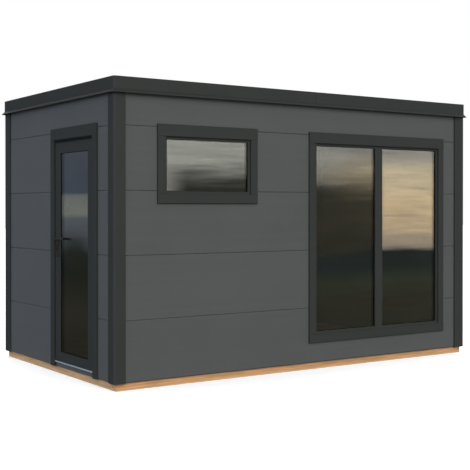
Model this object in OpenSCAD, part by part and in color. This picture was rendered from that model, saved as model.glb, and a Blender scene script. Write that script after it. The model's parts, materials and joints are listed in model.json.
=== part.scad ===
// Garden sauna: a flat-roofed cabin of tongued wall panels between rounded corner posts,
// on a timber base, with a glazed door in one end wall and two windows in the front wall.
// Millimetres. +Z is up, the front faces -Y, the door end faces -X,
// and the origin is on the ground at the middle of the plan.

/* [Building] */
// Length over the outer faces of the corner posts
post_span_x = 3940; // [3000:10:5200]
// Depth over the outer faces of the corner posts
post_span_y = 2340; // [2000:10:3200]
// Height from the ground to the top of the fascia
overall_h = 2500; // [2100:10:2900]

/* [Timber base] */
// Height of the base beams
base_h = 60; // [45:1:90]
// Width of the base beams
base_beam_w = 95; // [75:1:140]
// How far the base stands in from the post faces
base_inset = 30; // [5:1:40]
// Width of a floor joist
joist_w = 45; // [35:1:70]
// Number of floor joists
joist_count = 5; // [3:1:9]
// Thickness of the floor deck
floor_t = 28; // [18:1:32]

/* [Walls] */
// Thickness of a wall panel
wall_t = 40; // [36:1:60]
// How far the wall face stands back from the post faces
wall_setback = 14; // [8:1:20]
// Height of a full panel course
course_h = 520; // [300:1:700]
// Height of the top course
top_course_h = 285; // [250:1:400]
// Size of the V at a panel joint
joint_v = 5; // [1:0.5:6]
// Thickness of a panel's tongue
tongue_w = 14; // [8:1:18]
// Height of a panel's tongue
tongue_h = 12; // [6:1:16]
// Height of the track under the panels
track_h = 4; // [3:1:14]
// How far the track stands in from the panel faces
track_inset = 6; // [3:1:10]

/* [Corner posts] */
// Width of each leg of a post
post_w = 132; // [90:1:150]
// Width of each leg of the narrower post at the door's corner
near_post_w = 104; // [90:1:150]
// Radius of the outer corner
post_r = 20; // [15:1:45]
// Wall thickness of the post's section
post_shell = 4; // [2:0.5:5]
// Depth of the pocket that takes a panel's end
post_pocket = 18; // [10:1:22]

/* [Roof] */
// Thickness of the roof panels at the front
roof_t = 78; // [70:1:85]
// How much lower the roof is at the back
roof_fall = 22; // [0:1:30]
// Number of roof panels along the length
roof_panel_count = 4; // [2:1:6]
// Thickness of the roof membrane
membrane_t = 3; // [1:0.5:5]
// Height of the fascia's upright face
fascia_h = 100; // [95:1:120]
// Sheet thickness of the fascia
fascia_t = 3; // [1.5:0.5:4]
// How far the fascia stands proud of the post faces
fascia_proud = 4; // [4:0.5:15]
// Reach of the fascia's kicked-out drip edge
lip_out = 27; // [10:1:40]
// Width of the fascia's top flange
flange_w = 60; // [30:1:90]
// Radius of the fascia's corners
fascia_r = 20; // [6:1:28]
// Place of the seam in the long fascias, from the middle
fascia_seam = 50; // [-800:10:800]
// Width of the open joint at the seam
seam_gap = 2.5; // [0.5:0.5:5]

/* [Windows] */
// Width of a window casing's sides
casing_w = 70; // [50:1:80]
// Height of a window casing's head
casing_head = 99; // [60:1:110]
// Height of a window casing's foot
casing_foot = 78; // [60:1:110]
// How far the casings stand proud of the wall face
casing_proud = 18; // [14:1:24]
// How far a casing laps over the wall round its opening
casing_lap = 25; // [12:1:35]
// Size of the bevel along a casing's edges
casing_bevel = 2; // [0.5:0.5:4]
// Width of the window frame that shows inside the casing
sash_face = 22; // [20:1:40]
// Depth of the window frame
sash_depth = 60; // [50:1:70]
// How far the glass stands back in the window frame
glass_back = 12; // [10:1:26]
// Width of the small window over its casing
small_w = 990; // [600:10:1100]
// Height of the small window over its casing
small_h = 646; // [450:2:1200]
// Distance of the small window from the left end of the front
small_inset = 396; // [160:1:450]
// Width of the wall between the two windows' casings
pier_w = 571; // [200:1:900]
// Height of the large window's casing over the timber base
large_sill = 180; // [60:1:900]
// Distance of the large window from the right end of the front
large_inset = 293; // [160:1:420]
// Width of the mullion in the large window
mullion_w = 89; // [60:1:120]

/* [Glazing] */
// Thickness of a double glazed unit
unit_t = 18; // [18:1:26]
// Thickness of one pane
pane_t = 4; // [3:0.5:6]
// How far the glass runs into its frame
glass_bite = 16; // [8:1:16]
// Width of the spacer bar between the panes
spacer_w = 5; // [5:0.5:10]

/* [Door] */
// Width of the door over its casing
door_w = 909; // [850:1:1100]
// Distance of the door from the front end of its wall
door_inset = 313; // [160:1:350]
// Width of the door casing's sides
door_casing_w = 72; // [60:1:90]
// Height of the door casing's head
door_head = 96; // [80:1:120]
// How far the head casing rises over the top panel joint
door_head_rise = 35; // [20:1:50]
// Thickness of the door frame's posts
door_frame_t = 40; // [30:1:50]
// How far the casing laps over the leaf's edge
leaf_lap = 12; // [8:1:16]
// Clearance round the leaf in its frame
leaf_gap = 8; // [7:0.5:12]
// Clearance under the leaf's foot
foot_gap = 5.5; // [5:0.5:12]
// Clearance between the casing and the leaf's face
stop_gap = 5; // [5:0.5:8]
// Thickness of the leaf
leaf_t = 44; // [42:1:56]
// Width of the leaf's stiles
stile_w = 122; // [100:1:160]
// Height of the leaf's top rail
top_rail = 131; // [100:1:150]
// Height of the leaf's bottom rail
bottom_rail = 80; // [70:1:150]
// How far the door's glass stands back from the leaf's face
leaf_glass_back = 6; // [6:1:12]
// Height of the seal under the head casing
seal_h = 20; // [6:1:24]
// Thickness of the threshold plate
threshold_t = 10; // [8:1:16]
// Height of the packer under the threshold
packer_h = 40; // [28:1:46]

/* [Door furniture] */
// Height of the handle's spindle over the ground
handle_z = 1185; // [950:1:1250]
// Length of a lever
lever_len = 150; // [90:1:160]
// Diameter of a lever
lever_d = 17; // [12:1:18]
// Radius of a lever's bends, at the middle of the bar
lever_bend = 14; // [10:1:18]
// Distance of a lever's middle from the leaf's face
lever_reach = 33; // [26:1:33]
// Width of a handle's back plate
plate_w = 50; // [30:1:54]
// Height of a handle's back plate
plate_h = 172; // [120:1:240]
// Thickness of a handle's back plate
plate_t = 6; // [3:1:8]
// Diameter of a hinge's barrel
barrel_d = 16; // [14:1:20]
// Diameter of a hinge's pin
hinge_pin_d = 9; // [6:0.5:10]
// Height of a hinge
hinge_h = 110; // [80:1:140]
// Width of each hinge flag
hinge_flag_w = 36; // [24:1:38]
// Distance of the end hinges from the leaf's ends
hinge_end = 200; // [120:1:300]

/* [Hidden] */
$fn = 48;

// Colours
panel_colour = "#55575a";
trim_colour = "#363a39";
timber_colour = "#b9915f";
deck_colour = "#c4a57a";
roof_colour = "#2b2d2e";
glass_colour = [0.55, 0.6, 0.6, 0.4];
metal_colour = "#9aa0a4";
bronze_colour = "#3a342e";
rubber_colour = "#141514";

// Clearances
// Hairline between pieces that fit into or beside one another
fit_gap = 0.4;
// Overrun of a cut past the faces that it goes through
cut_over = 5;
// Running clearance of a hinge pin, on the radius
pin_gap = 0.08;
// Room between a hinge barrel and the leaf's face
barrel_gap = 1;
// Thickness of a post's inner lip behind the panel
post_lip = 3;
// Thickness of a hinge flag
flag_t = 4;
// How far the threshold's nose stands back from the casing's face
nose_back = 10;
// How far the packer stands back from the wall face
packer_back = 6;
// How far the seal stands back from the casing's face
seal_back = 3;
// Share of a handle's back plate that lies above the spindle
plate_above_share = 0.09;
// Share of a hinge's height that the lower, fixed barrel takes
fixed_barrel_share = 0.5;
// Share of the upper barrel that the pin reaches into
pin_reach_share = 0.8;

// Derived places of the walls
half_x = post_span_x / 2;
half_y = post_span_y / 2;
wall_top = overall_h - fascia_h;
wall_in = wall_setback + wall_t;
panel_foot = base_h + track_h;
top_joint_z = wall_top - top_course_h;
full_courses = ceil((top_joint_z - panel_foot) / course_h) - 1;
course_z = concat(
    [panel_foot],
    [for (i = [full_courses : -1 : 0]) top_joint_z - i * course_h],
    [wall_top]
);
top_course = len(course_z) - 2;
wall_end_x = half_x - post_w + post_pocket;
wall_end_y = half_y - post_w + post_pocket;
near_end_x = half_x - near_post_w + post_pocket;
near_end_y = half_y - near_post_w + post_pocket;
casing_face = wall_setback - casing_proud;

// Derived places of the windows: [left, right, bottom, top] over the casing
window_top = top_joint_z + casing_lap;
small_box = [small_inset - half_x, small_inset - half_x + small_w, window_top - small_h, window_top];
large_box = [small_box[1] + pier_w, half_x - large_inset, base_h + large_sill, window_top];
glass_in = wall_setback + glass_back;
mullion_mid = (large_box[0] + large_box[1]) / 2;

// Derived places of the door, measured along its wall towards the front corner
door_hi = half_y - door_inset;
door_lo = door_hi - door_w;
door_top = top_joint_z + door_head_rise;
clear_lo = door_lo + door_casing_w;
clear_hi = door_hi - door_casing_w;
clear_top = door_top - door_head;
leaf_lo = clear_lo - leaf_lap;
leaf_hi = clear_hi + leaf_lap;
leaf_top = clear_top + leaf_lap;
jamb_lo = leaf_lo - leaf_gap;
jamb_hi = leaf_hi + leaf_gap;
jamb_top = leaf_top + leaf_gap;
door_cut_lo = jamb_lo - door_frame_t - fit_gap;
door_cut_hi = jamb_hi + door_frame_t + fit_gap;
threshold_top = base_h + packer_h + threshold_t;
leaf_bottom = threshold_top + foot_gap;
lip_back = wall_setback - leaf_gap;
leaf_out = lip_back + stop_gap;
leaf_in = leaf_out + leaf_t;
pane_lo = leaf_lo + stile_w;
pane_hi = leaf_hi - stile_w;
pane_bottom = leaf_bottom + bottom_rail;
pane_top = leaf_top - top_rail;
leaf_glass_in = leaf_out + leaf_glass_back;
axis_in = leaf_in + barrel_gap + barrel_d / 2;
axis_u = leaf_hi + leaf_gap / 2;
handle_u = clear_lo + (pane_lo - clear_lo) / 2;

// Placing: a wall's own frame has u along it, t inwards from the post faces, and z
module on_front() { translate([0, -half_y, 0]) children(); }
module on_back() { rotate([0, 0, 180]) translate([0, -half_y, 0]) children(); }
module on_left() { rotate([0, 0, -90]) translate([0, -half_x, 0]) children(); }
module on_right() { rotate([0, 0, 90]) translate([0, -half_x, 0]) children(); }

// Sweeps a section drawn in [t, z] along u
module along_u(from, to) {
    translate([from, 0, 0]) rotate([90, 0, 90]) linear_extrude(to - from) children();
}

// Sweeps a section drawn in [u, t] upwards
module upright(from, to) {
    translate([0, 0, from]) linear_extrude(to - from) children();
}

module block(u0, u1, t0, t1, z0, z1) {
    translate([u0, t0, z0]) cube([u1 - u0, t1 - t0, z1 - z0]);
}

// Points with their two coordinates exchanged
function swapped(points) = [for (p = points) [p[1], p[0]]];

// Timber base
module long_beam() {
    block(base_inset - half_x, half_x - base_inset, base_inset, base_inset + base_beam_w, 0, base_h);
}
module cross_beam() {
    reach = half_y - base_inset - base_beam_w;
    block(-reach, reach, base_inset, base_inset + base_beam_w, 0, base_h);
}
module front_sill_beam() { color(timber_colour) on_front() long_beam(); }
module back_sill_beam() { color(timber_colour) on_back() long_beam(); }
module left_sill_beam() { color(timber_colour) on_left() cross_beam(); }
module right_sill_beam() { color(timber_colour) on_right() cross_beam(); }

module floor_joists() {
    reach = half_y - base_inset - base_beam_w;
    bay = (post_span_x - 2 * base_inset - 2 * base_beam_w) / (joist_count + 1);
    color(timber_colour)
        for (i = [1 : joist_count])
            translate([base_inset + base_beam_w - half_x + i * bay, 0, 0])
                block(-joist_w / 2, joist_w / 2, -reach, reach, 0, base_h);
}

module floor_deck() {
    edge = wall_in + post_lip + fit_gap;
    color(deck_colour)
        block(edge - half_x, half_x - edge, edge - half_y, half_y - edge, base_h, base_h + floor_t);
}

// Track under the panels of a wall, between two places along it
module track(from, to) {
    block(from, to, wall_setback + track_inset, wall_in - track_inset, base_h, base_h + track_h);
}
module base_tracks() {
    end_x = half_x - post_w - fit_gap;
    end_y = half_y - post_w - fit_gap;
    near_x = half_x - near_post_w - fit_gap;
    near_y = half_y - near_post_w - fit_gap;
    color(trim_colour) {
        on_front() track(-near_x, end_x);
        on_back() track(-end_x, end_x);
        on_right() track(-end_y, end_y);
        on_left() track(-end_y, door_cut_lo);
        on_left() track(door_cut_hi, near_y);
    }
}

// Section of a corner post: two legs, a rounded outer corner, a chamber and two panel pockets
module rounded_angle(from, to, leg, radius) {
    corner = from + radius;
    translate([corner, from]) square([to - corner, leg - from]);
    translate([from, corner]) square([leg - from, to - corner]);
    translate([corner, corner]) square([leg - corner, leg - corner]);
    intersection() {
        translate([corner, corner]) circle(radius);
        translate([from, from]) square([radius, radius]);
    }
}
module post_section(leg_w) {
    leg = wall_in + post_lip;
    pocket_from = wall_setback - fit_gap;
    pocket_w = wall_t + 2 * fit_gap;
    difference() {
        rounded_angle(0, leg_w, leg, post_r);
        rounded_angle(post_shell, leg_w - post_pocket - post_shell, leg - post_shell, post_r - post_shell);
        translate([leg_w - post_pocket, pocket_from]) square([post_pocket + cut_over, pocket_w]);
        translate([pocket_from, leg_w - post_pocket]) square([pocket_w, post_pocket + cut_over]);
    }
}
module corner_post(leg_w) {
    color(trim_colour) translate([-half_x, -half_y, 0]) upright(base_h, wall_top) post_section(leg_w);
}
module front_left_post() { corner_post(near_post_w); }
module front_right_post() { mirror([1, 0, 0]) corner_post(post_w); }
module back_left_post() { mirror([0, 1, 0]) corner_post(post_w); }
module back_right_post() { mirror([1, 0, 0]) mirror([0, 1, 0]) corner_post(post_w); }

// Section of one panel course, with a tongue above, a groove below and a V at each joint
function course_section(i) =
    let (
        z0 = course_z[i],
        z1 = course_z[i + 1] - (i < top_course ? fit_gap : 0),
        mid = wall_setback + wall_t / 2,
        tongue = tongue_w / 2,
        groove = tongue_w / 2 + fit_gap,
        groove_z = z0 + tongue_h + fit_gap
    )
    concat(
        [[wall_setback, z0 + joint_v], [wall_setback + joint_v, z0]],
        i == 0 ? [] : [
            [mid - groove, z0],
            [mid - groove, groove_z],
            [mid + groove, groove_z],
            [mid + groove, z0]
        ],
        [[wall_in, z0], [wall_in, z1]],
        i == top_course ? [] : [
            [mid + tongue, z1],
            [mid + tongue, z1 + tongue_h],
            [mid - tongue, z1 + tongue_h],
            [mid - tongue, z1]
        ],
        [[wall_setback + joint_v, z1], [wall_setback, z1 - joint_v]]
    );

module courses(first, last, from, to) {
    color(panel_colour)
        for (i = [first : last])
            along_u(from, to) polygon(course_section(i));
}

// Opening behind a window's casing, up to the top joint and through the tongues there
module window_cut(box) {
    block(
        box[0] + casing_lap, box[1] - casing_lap,
        wall_setback - cut_over, wall_in + cut_over,
        box[2] + casing_lap, top_joint_z + tongue_h + cut_over
    );
}

module front_wall() {
    from = fit_gap - near_end_x;
    to = wall_end_x - fit_gap;
    color(panel_colour) on_front() {
        difference() {
            courses(0, top_course - 1, from, to);
            window_cut(small_box);
            window_cut(large_box);
        }
        courses(top_course, top_course, from, to);
    }
}
module back_wall() { on_back() courses(0, top_course, fit_gap - wall_end_x, wall_end_x - fit_gap); }
module right_wall() { on_right() courses(0, top_course, fit_gap - wall_end_y, wall_end_y - fit_gap); }
module left_wall_rear() { on_left() courses(0, top_course - 1, fit_gap - wall_end_y, door_cut_lo); }
module left_wall_front() { on_left() courses(0, top_course - 1, door_cut_hi, near_end_y - fit_gap); }
module left_wall_over_door() {
    on_left() courses(top_course, top_course, fit_gap - wall_end_y, near_end_y - fit_gap);
}

// Roof panels with a fall to the back, and the membrane on them, rounded to fit the fascia
roof_lo = roof_t - roof_fall;
roof_reach_x = half_x + fascia_proud - fascia_t;
roof_reach_y = half_y + fascia_proud - fascia_t;
module roof_plan() {
    corner_r = fascia_r;
    bend_x = roof_reach_x - corner_r;
    bend_y = roof_reach_y - corner_r;
    translate([-roof_reach_x, -bend_y]) square([2 * roof_reach_x, 2 * bend_y]);
    translate([-bend_x, -roof_reach_y]) square([2 * bend_x, 2 * roof_reach_y]);
    for (x = [-bend_x, bend_x], y = [-bend_y, bend_y])
        translate([x, y]) circle(corner_r);
}
module roof_panels() {
    panel_w = 2 * roof_reach_x / roof_panel_count;
    color(panel_colour)
        intersection() {
            for (i = [0 : roof_panel_count - 1]) {
                from = i * panel_w - roof_reach_x;
                along_u(from + fit_gap / 2, from + panel_w - fit_gap / 2)
                    polygon([
                        [-roof_reach_y, wall_top],
                        [roof_reach_y, wall_top],
                        [roof_reach_y, wall_top + roof_lo],
                        [-roof_reach_y, wall_top + roof_t]
                    ]);
            }
            upright(wall_top - cut_over, overall_h) roof_plan();
        }
}
module roof_membrane() {
    color(roof_colour)
        intersection() {
            along_u(-roof_reach_x, roof_reach_x)
                polygon([
                    [-roof_reach_y, wall_top + roof_t],
                    [roof_reach_y, wall_top + roof_lo],
                    [roof_reach_y, wall_top + roof_lo + membrane_t],
                    [-roof_reach_y, wall_top + roof_t + membrane_t]
                ]);
            upright(wall_top, overall_h) roof_plan();
        }
}

// Fascia: a bent sheet with a top flange, a kicked-out drip edge and rounded, mitred corners
fascia_reach = fascia_proud + lip_out;
fascia_foot = wall_top - lip_out - fascia_t;
// Section of the face and drip edge, in [distance out from the face, height]
fascia_section = [
    [0, overall_h],
    [0, wall_top],
    [lip_out, wall_top - lip_out],
    [lip_out, fascia_foot],
    [-fascia_t, wall_top],
    [-fascia_t, overall_h]
];
// Half of one corner, from the end of the straight face to the mitre
module fascia_bend() {
    rotate_extrude(angle = 45)
        polygon([for (p = fascia_section) [p[0] + fascia_r, p[1]]]);
}
// Plan of the flange along one side, between its mitres; bend is where each corner begins.
// Its outer edge lies within the thickness of the face
module flange_plan(bend) {
    corner_r = fascia_r - fascia_t / 2;
    corner_in = fascia_r - fascia_proud;
    back = flange_w - fascia_proud;
    tip = bend + fascia_r;
    intersection() {
        union() {
            translate([-bend, corner_in - corner_r]) square([2 * bend, back - corner_in + corner_r]);
            translate([-bend - corner_r, corner_in]) square([2 * bend + 2 * corner_r, back - corner_in]);
            for (end = [-bend, bend])
                translate([end, corner_in]) circle(corner_r);
        }
        polygon([
            [-tip, -fascia_proud], [tip, -fascia_proud],
            [tip - flange_w, back], [flange_w - tip, back]
        ]);
    }
}
module fascia_side(half, mitre_gap) {
    bend = half + fascia_proud - fascia_r - mitre_gap;
    color(trim_colour) {
        along_u(-bend, bend) polygon([for (p = fascia_section) [-fascia_proud - p[0], p[1]]]);
        for (end = [0, 1])
            mirror([end, 0, 0])
                translate([bend, fascia_r - fascia_proud, 0]) rotate([0, 0, -90]) fascia_bend();
        upright(overall_h - fascia_t, overall_h) flange_plan(bend);
    }
}
module long_fascia(seam) {
    difference() {
        fascia_side(half_x, fit_gap);
        block(
            seam - seam_gap / 2, seam + seam_gap / 2,
            -fascia_reach - cut_over, flange_w + cut_over,
            fascia_foot - cut_over, overall_h + cut_over
        );
    }
}
module end_fascia() { fascia_side(half_y, 0); }
module front_fascia() { on_front() long_fascia(fascia_seam); }
module back_fascia() { on_back() long_fascia(-fascia_seam); }
module left_fascia() { on_left() end_fascia(); }
module right_fascia() { on_right() end_fascia(); }

// Section of a casing bar from a to b across, with bevelled front edges
function bar_section(a, b, front, back) = [
    [front + casing_bevel, a], [back, a], [back, b], [front + casing_bevel, b],
    [front, b - casing_bevel], [front, a + casing_bevel]
];
module window_casing(box) {
    color(trim_colour) {
        along_u(box[0], box[1])
            polygon(bar_section(box[3] - casing_head, box[3], casing_face, wall_setback));
        along_u(box[0], box[1])
            polygon(bar_section(box[2], box[2] + casing_foot, casing_face, wall_setback));
        for (side = [box[0], box[1] - casing_w])
            upright(box[2] + casing_foot + fit_gap, box[3] - casing_head - fit_gap)
                polygon(swapped(bar_section(side, side + casing_w, casing_face, wall_setback)));
    }
}

// Section of a frame bar, open towards the glass: inner is the edge that shows
function frame_section(inner, outer, front, depth, pocket) =
    let (
        floor = inner + sign(outer - inner) * (glass_bite + fit_gap),
        pocket_end = pocket + unit_t + 2 * fit_gap
    )
    [
        [front, outer], [front + depth, outer], [front + depth, inner], [pocket_end, inner],
        [pocket_end, floor], [pocket, floor], [pocket, inner], [front, inner]
    ];
// The edges of a window's glass that show: [left, right, bottom, top]
function sight(box) = [
    box[0] + casing_w + sash_face,
    box[1] - casing_w - sash_face,
    box[2] + casing_foot + sash_face,
    box[3] - casing_head - sash_face
];
module window_frame(box) {
    s = sight(box);
    lo = box[0] + casing_lap + fit_gap;
    hi = box[1] - casing_lap - fit_gap;
    bottom = box[2] + casing_lap + fit_gap;
    top = box[3] - casing_lap - fit_gap;
    color(trim_colour) {
        along_u(lo, hi)
            polygon(frame_section(s[3], top, wall_setback, sash_depth, glass_in));
        along_u(lo, hi)
            polygon(frame_section(s[2], bottom, wall_setback, sash_depth, glass_in));
        upright(s[2] + fit_gap, s[3] - fit_gap) {
            polygon(swapped(frame_section(s[0], lo, wall_setback, sash_depth, glass_in)));
            polygon(swapped(frame_section(s[1], hi, wall_setback, sash_depth, glass_in)));
        }
    }
}
module small_window_casing() { on_front() window_casing(small_box); }
module small_window_frame() { on_front() window_frame(small_box); }
module large_window_casing() { on_front() window_casing(large_box); }
module large_window_frame() { on_front() window_frame(large_box); }
module large_window_mullion() {
    s = sight(large_box);
    lo = mullion_mid - mullion_w / 2;
    hi = mullion_mid + mullion_w / 2;
    pocket = glass_bite + fit_gap;
    pocket_end = glass_in + unit_t + 2 * fit_gap;
    color(trim_colour) on_front()
        difference() {
            block(lo, hi, wall_setback, wall_setback + sash_depth, s[2] + fit_gap, s[3] - fit_gap);
            block(lo - cut_over, lo + pocket, glass_in, pocket_end, s[2] - cut_over, s[3] + cut_over);
            block(hi - pocket, hi + cut_over, glass_in, pocket_end, s[2] - cut_over, s[3] + cut_over);
        }
}

// A double glazed unit for the opening s, with its pocket at t
module panes(s, t) {
    front = t + fit_gap;
    color(glass_colour)
        for (face = [front, front + unit_t - pane_t])
            block(
                s[0] - glass_bite, s[1] + glass_bite,
                face, face + pane_t,
                s[2] - glass_bite, s[3] + glass_bite
            );
}
module spacer_bars(s, t) {
    front = t + fit_gap + pane_t;
    back = t + fit_gap + unit_t - pane_t;
    lo = s[0] - glass_bite;
    hi = s[1] + glass_bite;
    bottom = s[2] - glass_bite;
    top = s[3] + glass_bite;
    color(rubber_colour) {
        block(lo, hi, front, back, bottom, bottom + spacer_w);
        block(lo, hi, front, back, top - spacer_w, top);
        for (side = [lo, hi - spacer_w])
            block(side, side + spacer_w, front, back, bottom + spacer_w + fit_gap, top - spacer_w - fit_gap);
    }
}
large_sight = sight(large_box);
left_sight = [large_sight[0], mullion_mid - mullion_w / 2, large_sight[2], large_sight[3]];
right_sight = [mullion_mid + mullion_w / 2, large_sight[1], large_sight[2], large_sight[3]];
module small_window_glass() { on_front() panes(sight(small_box), glass_in); }
module large_window_left_glass() { on_front() panes(left_sight, glass_in); }
module large_window_right_glass() { on_front() panes(right_sight, glass_in); }
module glazing_spacers() {
    on_front()
        for (s = [sight(small_box), left_sight, right_sight])
            spacer_bars(s, glass_in);
}

// Door casing: a flat face whose inner edge laps over the leaf
function stop_section(inner, jamb, outer) = [
    [casing_face, inner], [casing_face, outer], [wall_setback, outer],
    [wall_setback, jamb], [lip_back, jamb], [lip_back, inner]
];
module door_casing() {
    color(trim_colour) on_left() {
        along_u(door_lo, door_hi) polygon(stop_section(clear_top, jamb_top, door_top));
        upright(base_h, clear_top - fit_gap) {
            polygon(swapped(stop_section(clear_lo, jamb_lo, door_lo)));
            polygon(swapped(stop_section(clear_hi, jamb_hi, door_hi)));
        }
    }
}
module door_frame() {
    lo = jamb_lo - door_frame_t;
    hi = jamb_hi + door_frame_t;
    color(trim_colour) on_left() {
        block(lo, hi, wall_setback, wall_in, jamb_top, top_joint_z - fit_gap);
        block(lo, jamb_lo, wall_setback, wall_in, base_h, jamb_top - fit_gap);
        block(jamb_hi, hi, wall_setback, wall_in, base_h, jamb_top - fit_gap);
    }
}
module door_head_seal() {
    color(rubber_colour) on_left()
        block(
            clear_lo + fit_gap, clear_hi - fit_gap,
            casing_face + seal_back, lip_back,
            clear_top - seal_h, clear_top
        );
}
module door_threshold() {
    z0 = base_h + packer_h;
    color(metal_colour) on_left() {
        block(
            clear_lo + fit_gap, clear_hi - fit_gap,
            casing_face + nose_back, wall_in,
            z0, threshold_top
        );
        block(jamb_lo + fit_gap, jamb_hi - fit_gap, wall_setback, wall_in, z0, threshold_top);
    }
}
module door_sill_packer() {
    color(trim_colour) on_left()
        block(
            jamb_lo + fit_gap, jamb_hi - fit_gap,
            wall_setback + packer_back, wall_in,
            base_h, base_h + packer_h
        );
}

// Hinges: a fixed lower barrel with a pin, and an upper barrel on the leaf
hinge_z = [
    leaf_bottom + hinge_end,
    (leaf_bottom + leaf_top) / 2,
    leaf_top - hinge_end
];
fixed_h = hinge_h * fixed_barrel_share;
loose_h = hinge_h - fixed_h - fit_gap;
pin_up = loose_h * pin_reach_share;
module door_hinge_pins() {
    color(metal_colour) on_left()
        for (z = hinge_z)
            translate([axis_u, axis_in, z - hinge_h / 2]) {
                cylinder(h = fixed_h, d = barrel_d);
                cylinder(h = fixed_h + pin_up, d = hinge_pin_d);
                block(0, hinge_flag_w, wall_in - axis_in, wall_in + flag_t - axis_in, 0, fixed_h);
            }
}
module door_hinge_knuckles() {
    color(metal_colour) on_left()
        for (z = hinge_z)
            translate([axis_u, axis_in, z - hinge_h / 2 + fixed_h + fit_gap])
                difference() {
                    union() {
                        cylinder(h = loose_h, d = barrel_d);
                        block(-hinge_flag_w, 0, leaf_in - axis_in, leaf_in + flag_t - axis_in, 0, loose_h);
                    }
                    translate([0, 0, -cut_over])
                        cylinder(h = pin_up + fit_gap + cut_over, d = hinge_pin_d + 2 * pin_gap);
                }
}

// Leaf: a framed door with one double glazed unit
module door_leaf() {
    pocket_z0 = pane_bottom - glass_bite - fit_gap;
    pocket_z1 = pane_top + glass_bite + fit_gap;
    color(trim_colour) on_left()
        difference() {
            block(leaf_lo, leaf_hi, leaf_out, leaf_in, leaf_bottom, leaf_top);
            block(pane_lo, pane_hi, leaf_out - cut_over, leaf_in + cut_over, pane_bottom, pane_top);
            block(
                pane_lo - glass_bite - fit_gap, pane_hi + glass_bite + fit_gap,
                leaf_glass_in, leaf_glass_in + unit_t + 2 * fit_gap,
                pocket_z0, pocket_z1
            );
        }
}
door_sight = [pane_lo, pane_hi, pane_bottom, pane_top];
module door_glass() { on_left() panes(door_sight, leaf_glass_in); }
module door_glass_spacer() { on_left() spacer_bars(door_sight, leaf_glass_in); }

// Handle: a long back plate with round ends, a neck and a lever towards the hinges,
// bent over at the neck and turned back towards the leaf at its free end
module lever_elbow() {
    rotate_extrude(angle = 90) translate([lever_bend, 0]) circle(d = lever_d);
}
module lever_handle() {
    top = plate_h * plate_above_share;
    end_r = plate_w / 2;
    far = lever_len - lever_d / 2 - lever_bend;
    back = lever_bend - lever_reach;
    color(bronze_colour) {
        rotate([90, 0, 0]) {
            linear_extrude(plate_t) {
                translate([-end_r, top - plate_h + end_r]) square([plate_w, plate_h - plate_w]);
                translate([0, top - end_r]) circle(end_r);
                translate([0, top - plate_h + end_r]) circle(end_r);
            }
            cylinder(h = lever_reach - lever_bend, d = lever_d);
        }
        translate([lever_bend, back, 0]) rotate([0, 0, 180]) lever_elbow();
        translate([lever_bend, -lever_reach, 0])
            rotate([0, 90, 0]) cylinder(h = far - lever_bend, d = lever_d);
        translate([far, back, 0]) rotate([0, 0, -90]) lever_elbow();
    }
}
module outside_handle() { on_left() translate([handle_u, leaf_out, handle_z]) lever_handle(); }
module inside_handle() {
    on_left() translate([handle_u, leaf_in, handle_z]) mirror([0, 1, 0]) lever_handle();
}

front_sill_beam();
back_sill_beam();
left_sill_beam();
right_sill_beam();
floor_joists();
floor_deck();
base_tracks();
front_left_post();
front_right_post();
back_left_post();
back_right_post();
front_wall();
back_wall();
right_wall();
left_wall_rear();
left_wall_front();
left_wall_over_door();
roof_panels();
roof_membrane();
front_fascia();
back_fascia();
left_fascia();
right_fascia();
small_window_casing();
small_window_frame();
small_window_glass();
large_window_casing();
large_window_frame();
large_window_mullion();
large_window_left_glass();
large_window_right_glass();
glazing_spacers();
door_casing();
door_frame();
door_head_seal();
door_threshold();
door_sill_packer();
door_hinge_pins();
door_hinge_knuckles();
door_leaf();
door_glass();
door_glass_spacer();
outside_handle();
inside_handle();
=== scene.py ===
"""Looks of a garden sauna: finishes, small fittings, light and camera round its CAD frame.

Everything is in metres, in the frame of the CAD model: +Z up, the front faces -Y and the
door end faces -X.
"""

import json
import logging
import math
from dataclasses import dataclass, field
from enum import Enum
from functools import reduce
from typing import Any, Iterable, Optional, Sequence, Union

import bmesh
import bpy
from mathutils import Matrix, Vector


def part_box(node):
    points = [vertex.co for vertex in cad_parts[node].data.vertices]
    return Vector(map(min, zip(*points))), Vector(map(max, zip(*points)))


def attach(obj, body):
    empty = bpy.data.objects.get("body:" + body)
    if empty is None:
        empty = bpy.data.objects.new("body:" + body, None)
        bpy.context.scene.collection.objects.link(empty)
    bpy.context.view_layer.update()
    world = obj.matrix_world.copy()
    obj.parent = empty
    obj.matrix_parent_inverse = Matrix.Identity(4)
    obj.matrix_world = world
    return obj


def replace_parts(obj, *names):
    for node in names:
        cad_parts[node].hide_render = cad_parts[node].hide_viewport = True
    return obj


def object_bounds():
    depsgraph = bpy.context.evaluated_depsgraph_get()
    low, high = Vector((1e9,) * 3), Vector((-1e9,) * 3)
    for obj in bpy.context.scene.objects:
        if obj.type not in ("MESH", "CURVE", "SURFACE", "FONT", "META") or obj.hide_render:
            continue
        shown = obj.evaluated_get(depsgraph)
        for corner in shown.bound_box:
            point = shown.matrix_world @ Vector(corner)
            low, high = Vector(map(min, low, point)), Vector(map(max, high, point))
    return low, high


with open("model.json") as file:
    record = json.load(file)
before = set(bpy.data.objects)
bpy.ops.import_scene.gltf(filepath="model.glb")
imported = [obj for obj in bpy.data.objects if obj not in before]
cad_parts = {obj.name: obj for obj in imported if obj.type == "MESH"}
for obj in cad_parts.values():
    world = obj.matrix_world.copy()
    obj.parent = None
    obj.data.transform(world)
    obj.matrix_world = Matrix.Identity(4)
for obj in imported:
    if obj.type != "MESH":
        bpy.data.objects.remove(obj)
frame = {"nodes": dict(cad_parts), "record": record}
CAD_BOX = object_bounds()

log = logging.getLogger("garden_sauna")
CHAMFER_STEPS = 2
CHAMFER_PROFILE = 0.6

Colour = tuple[float, float, float]
Point = tuple[float, float, float]
Operand = Union["Term", float]
WHITE: Colour = (1.0, 1.0, 1.0)


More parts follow.
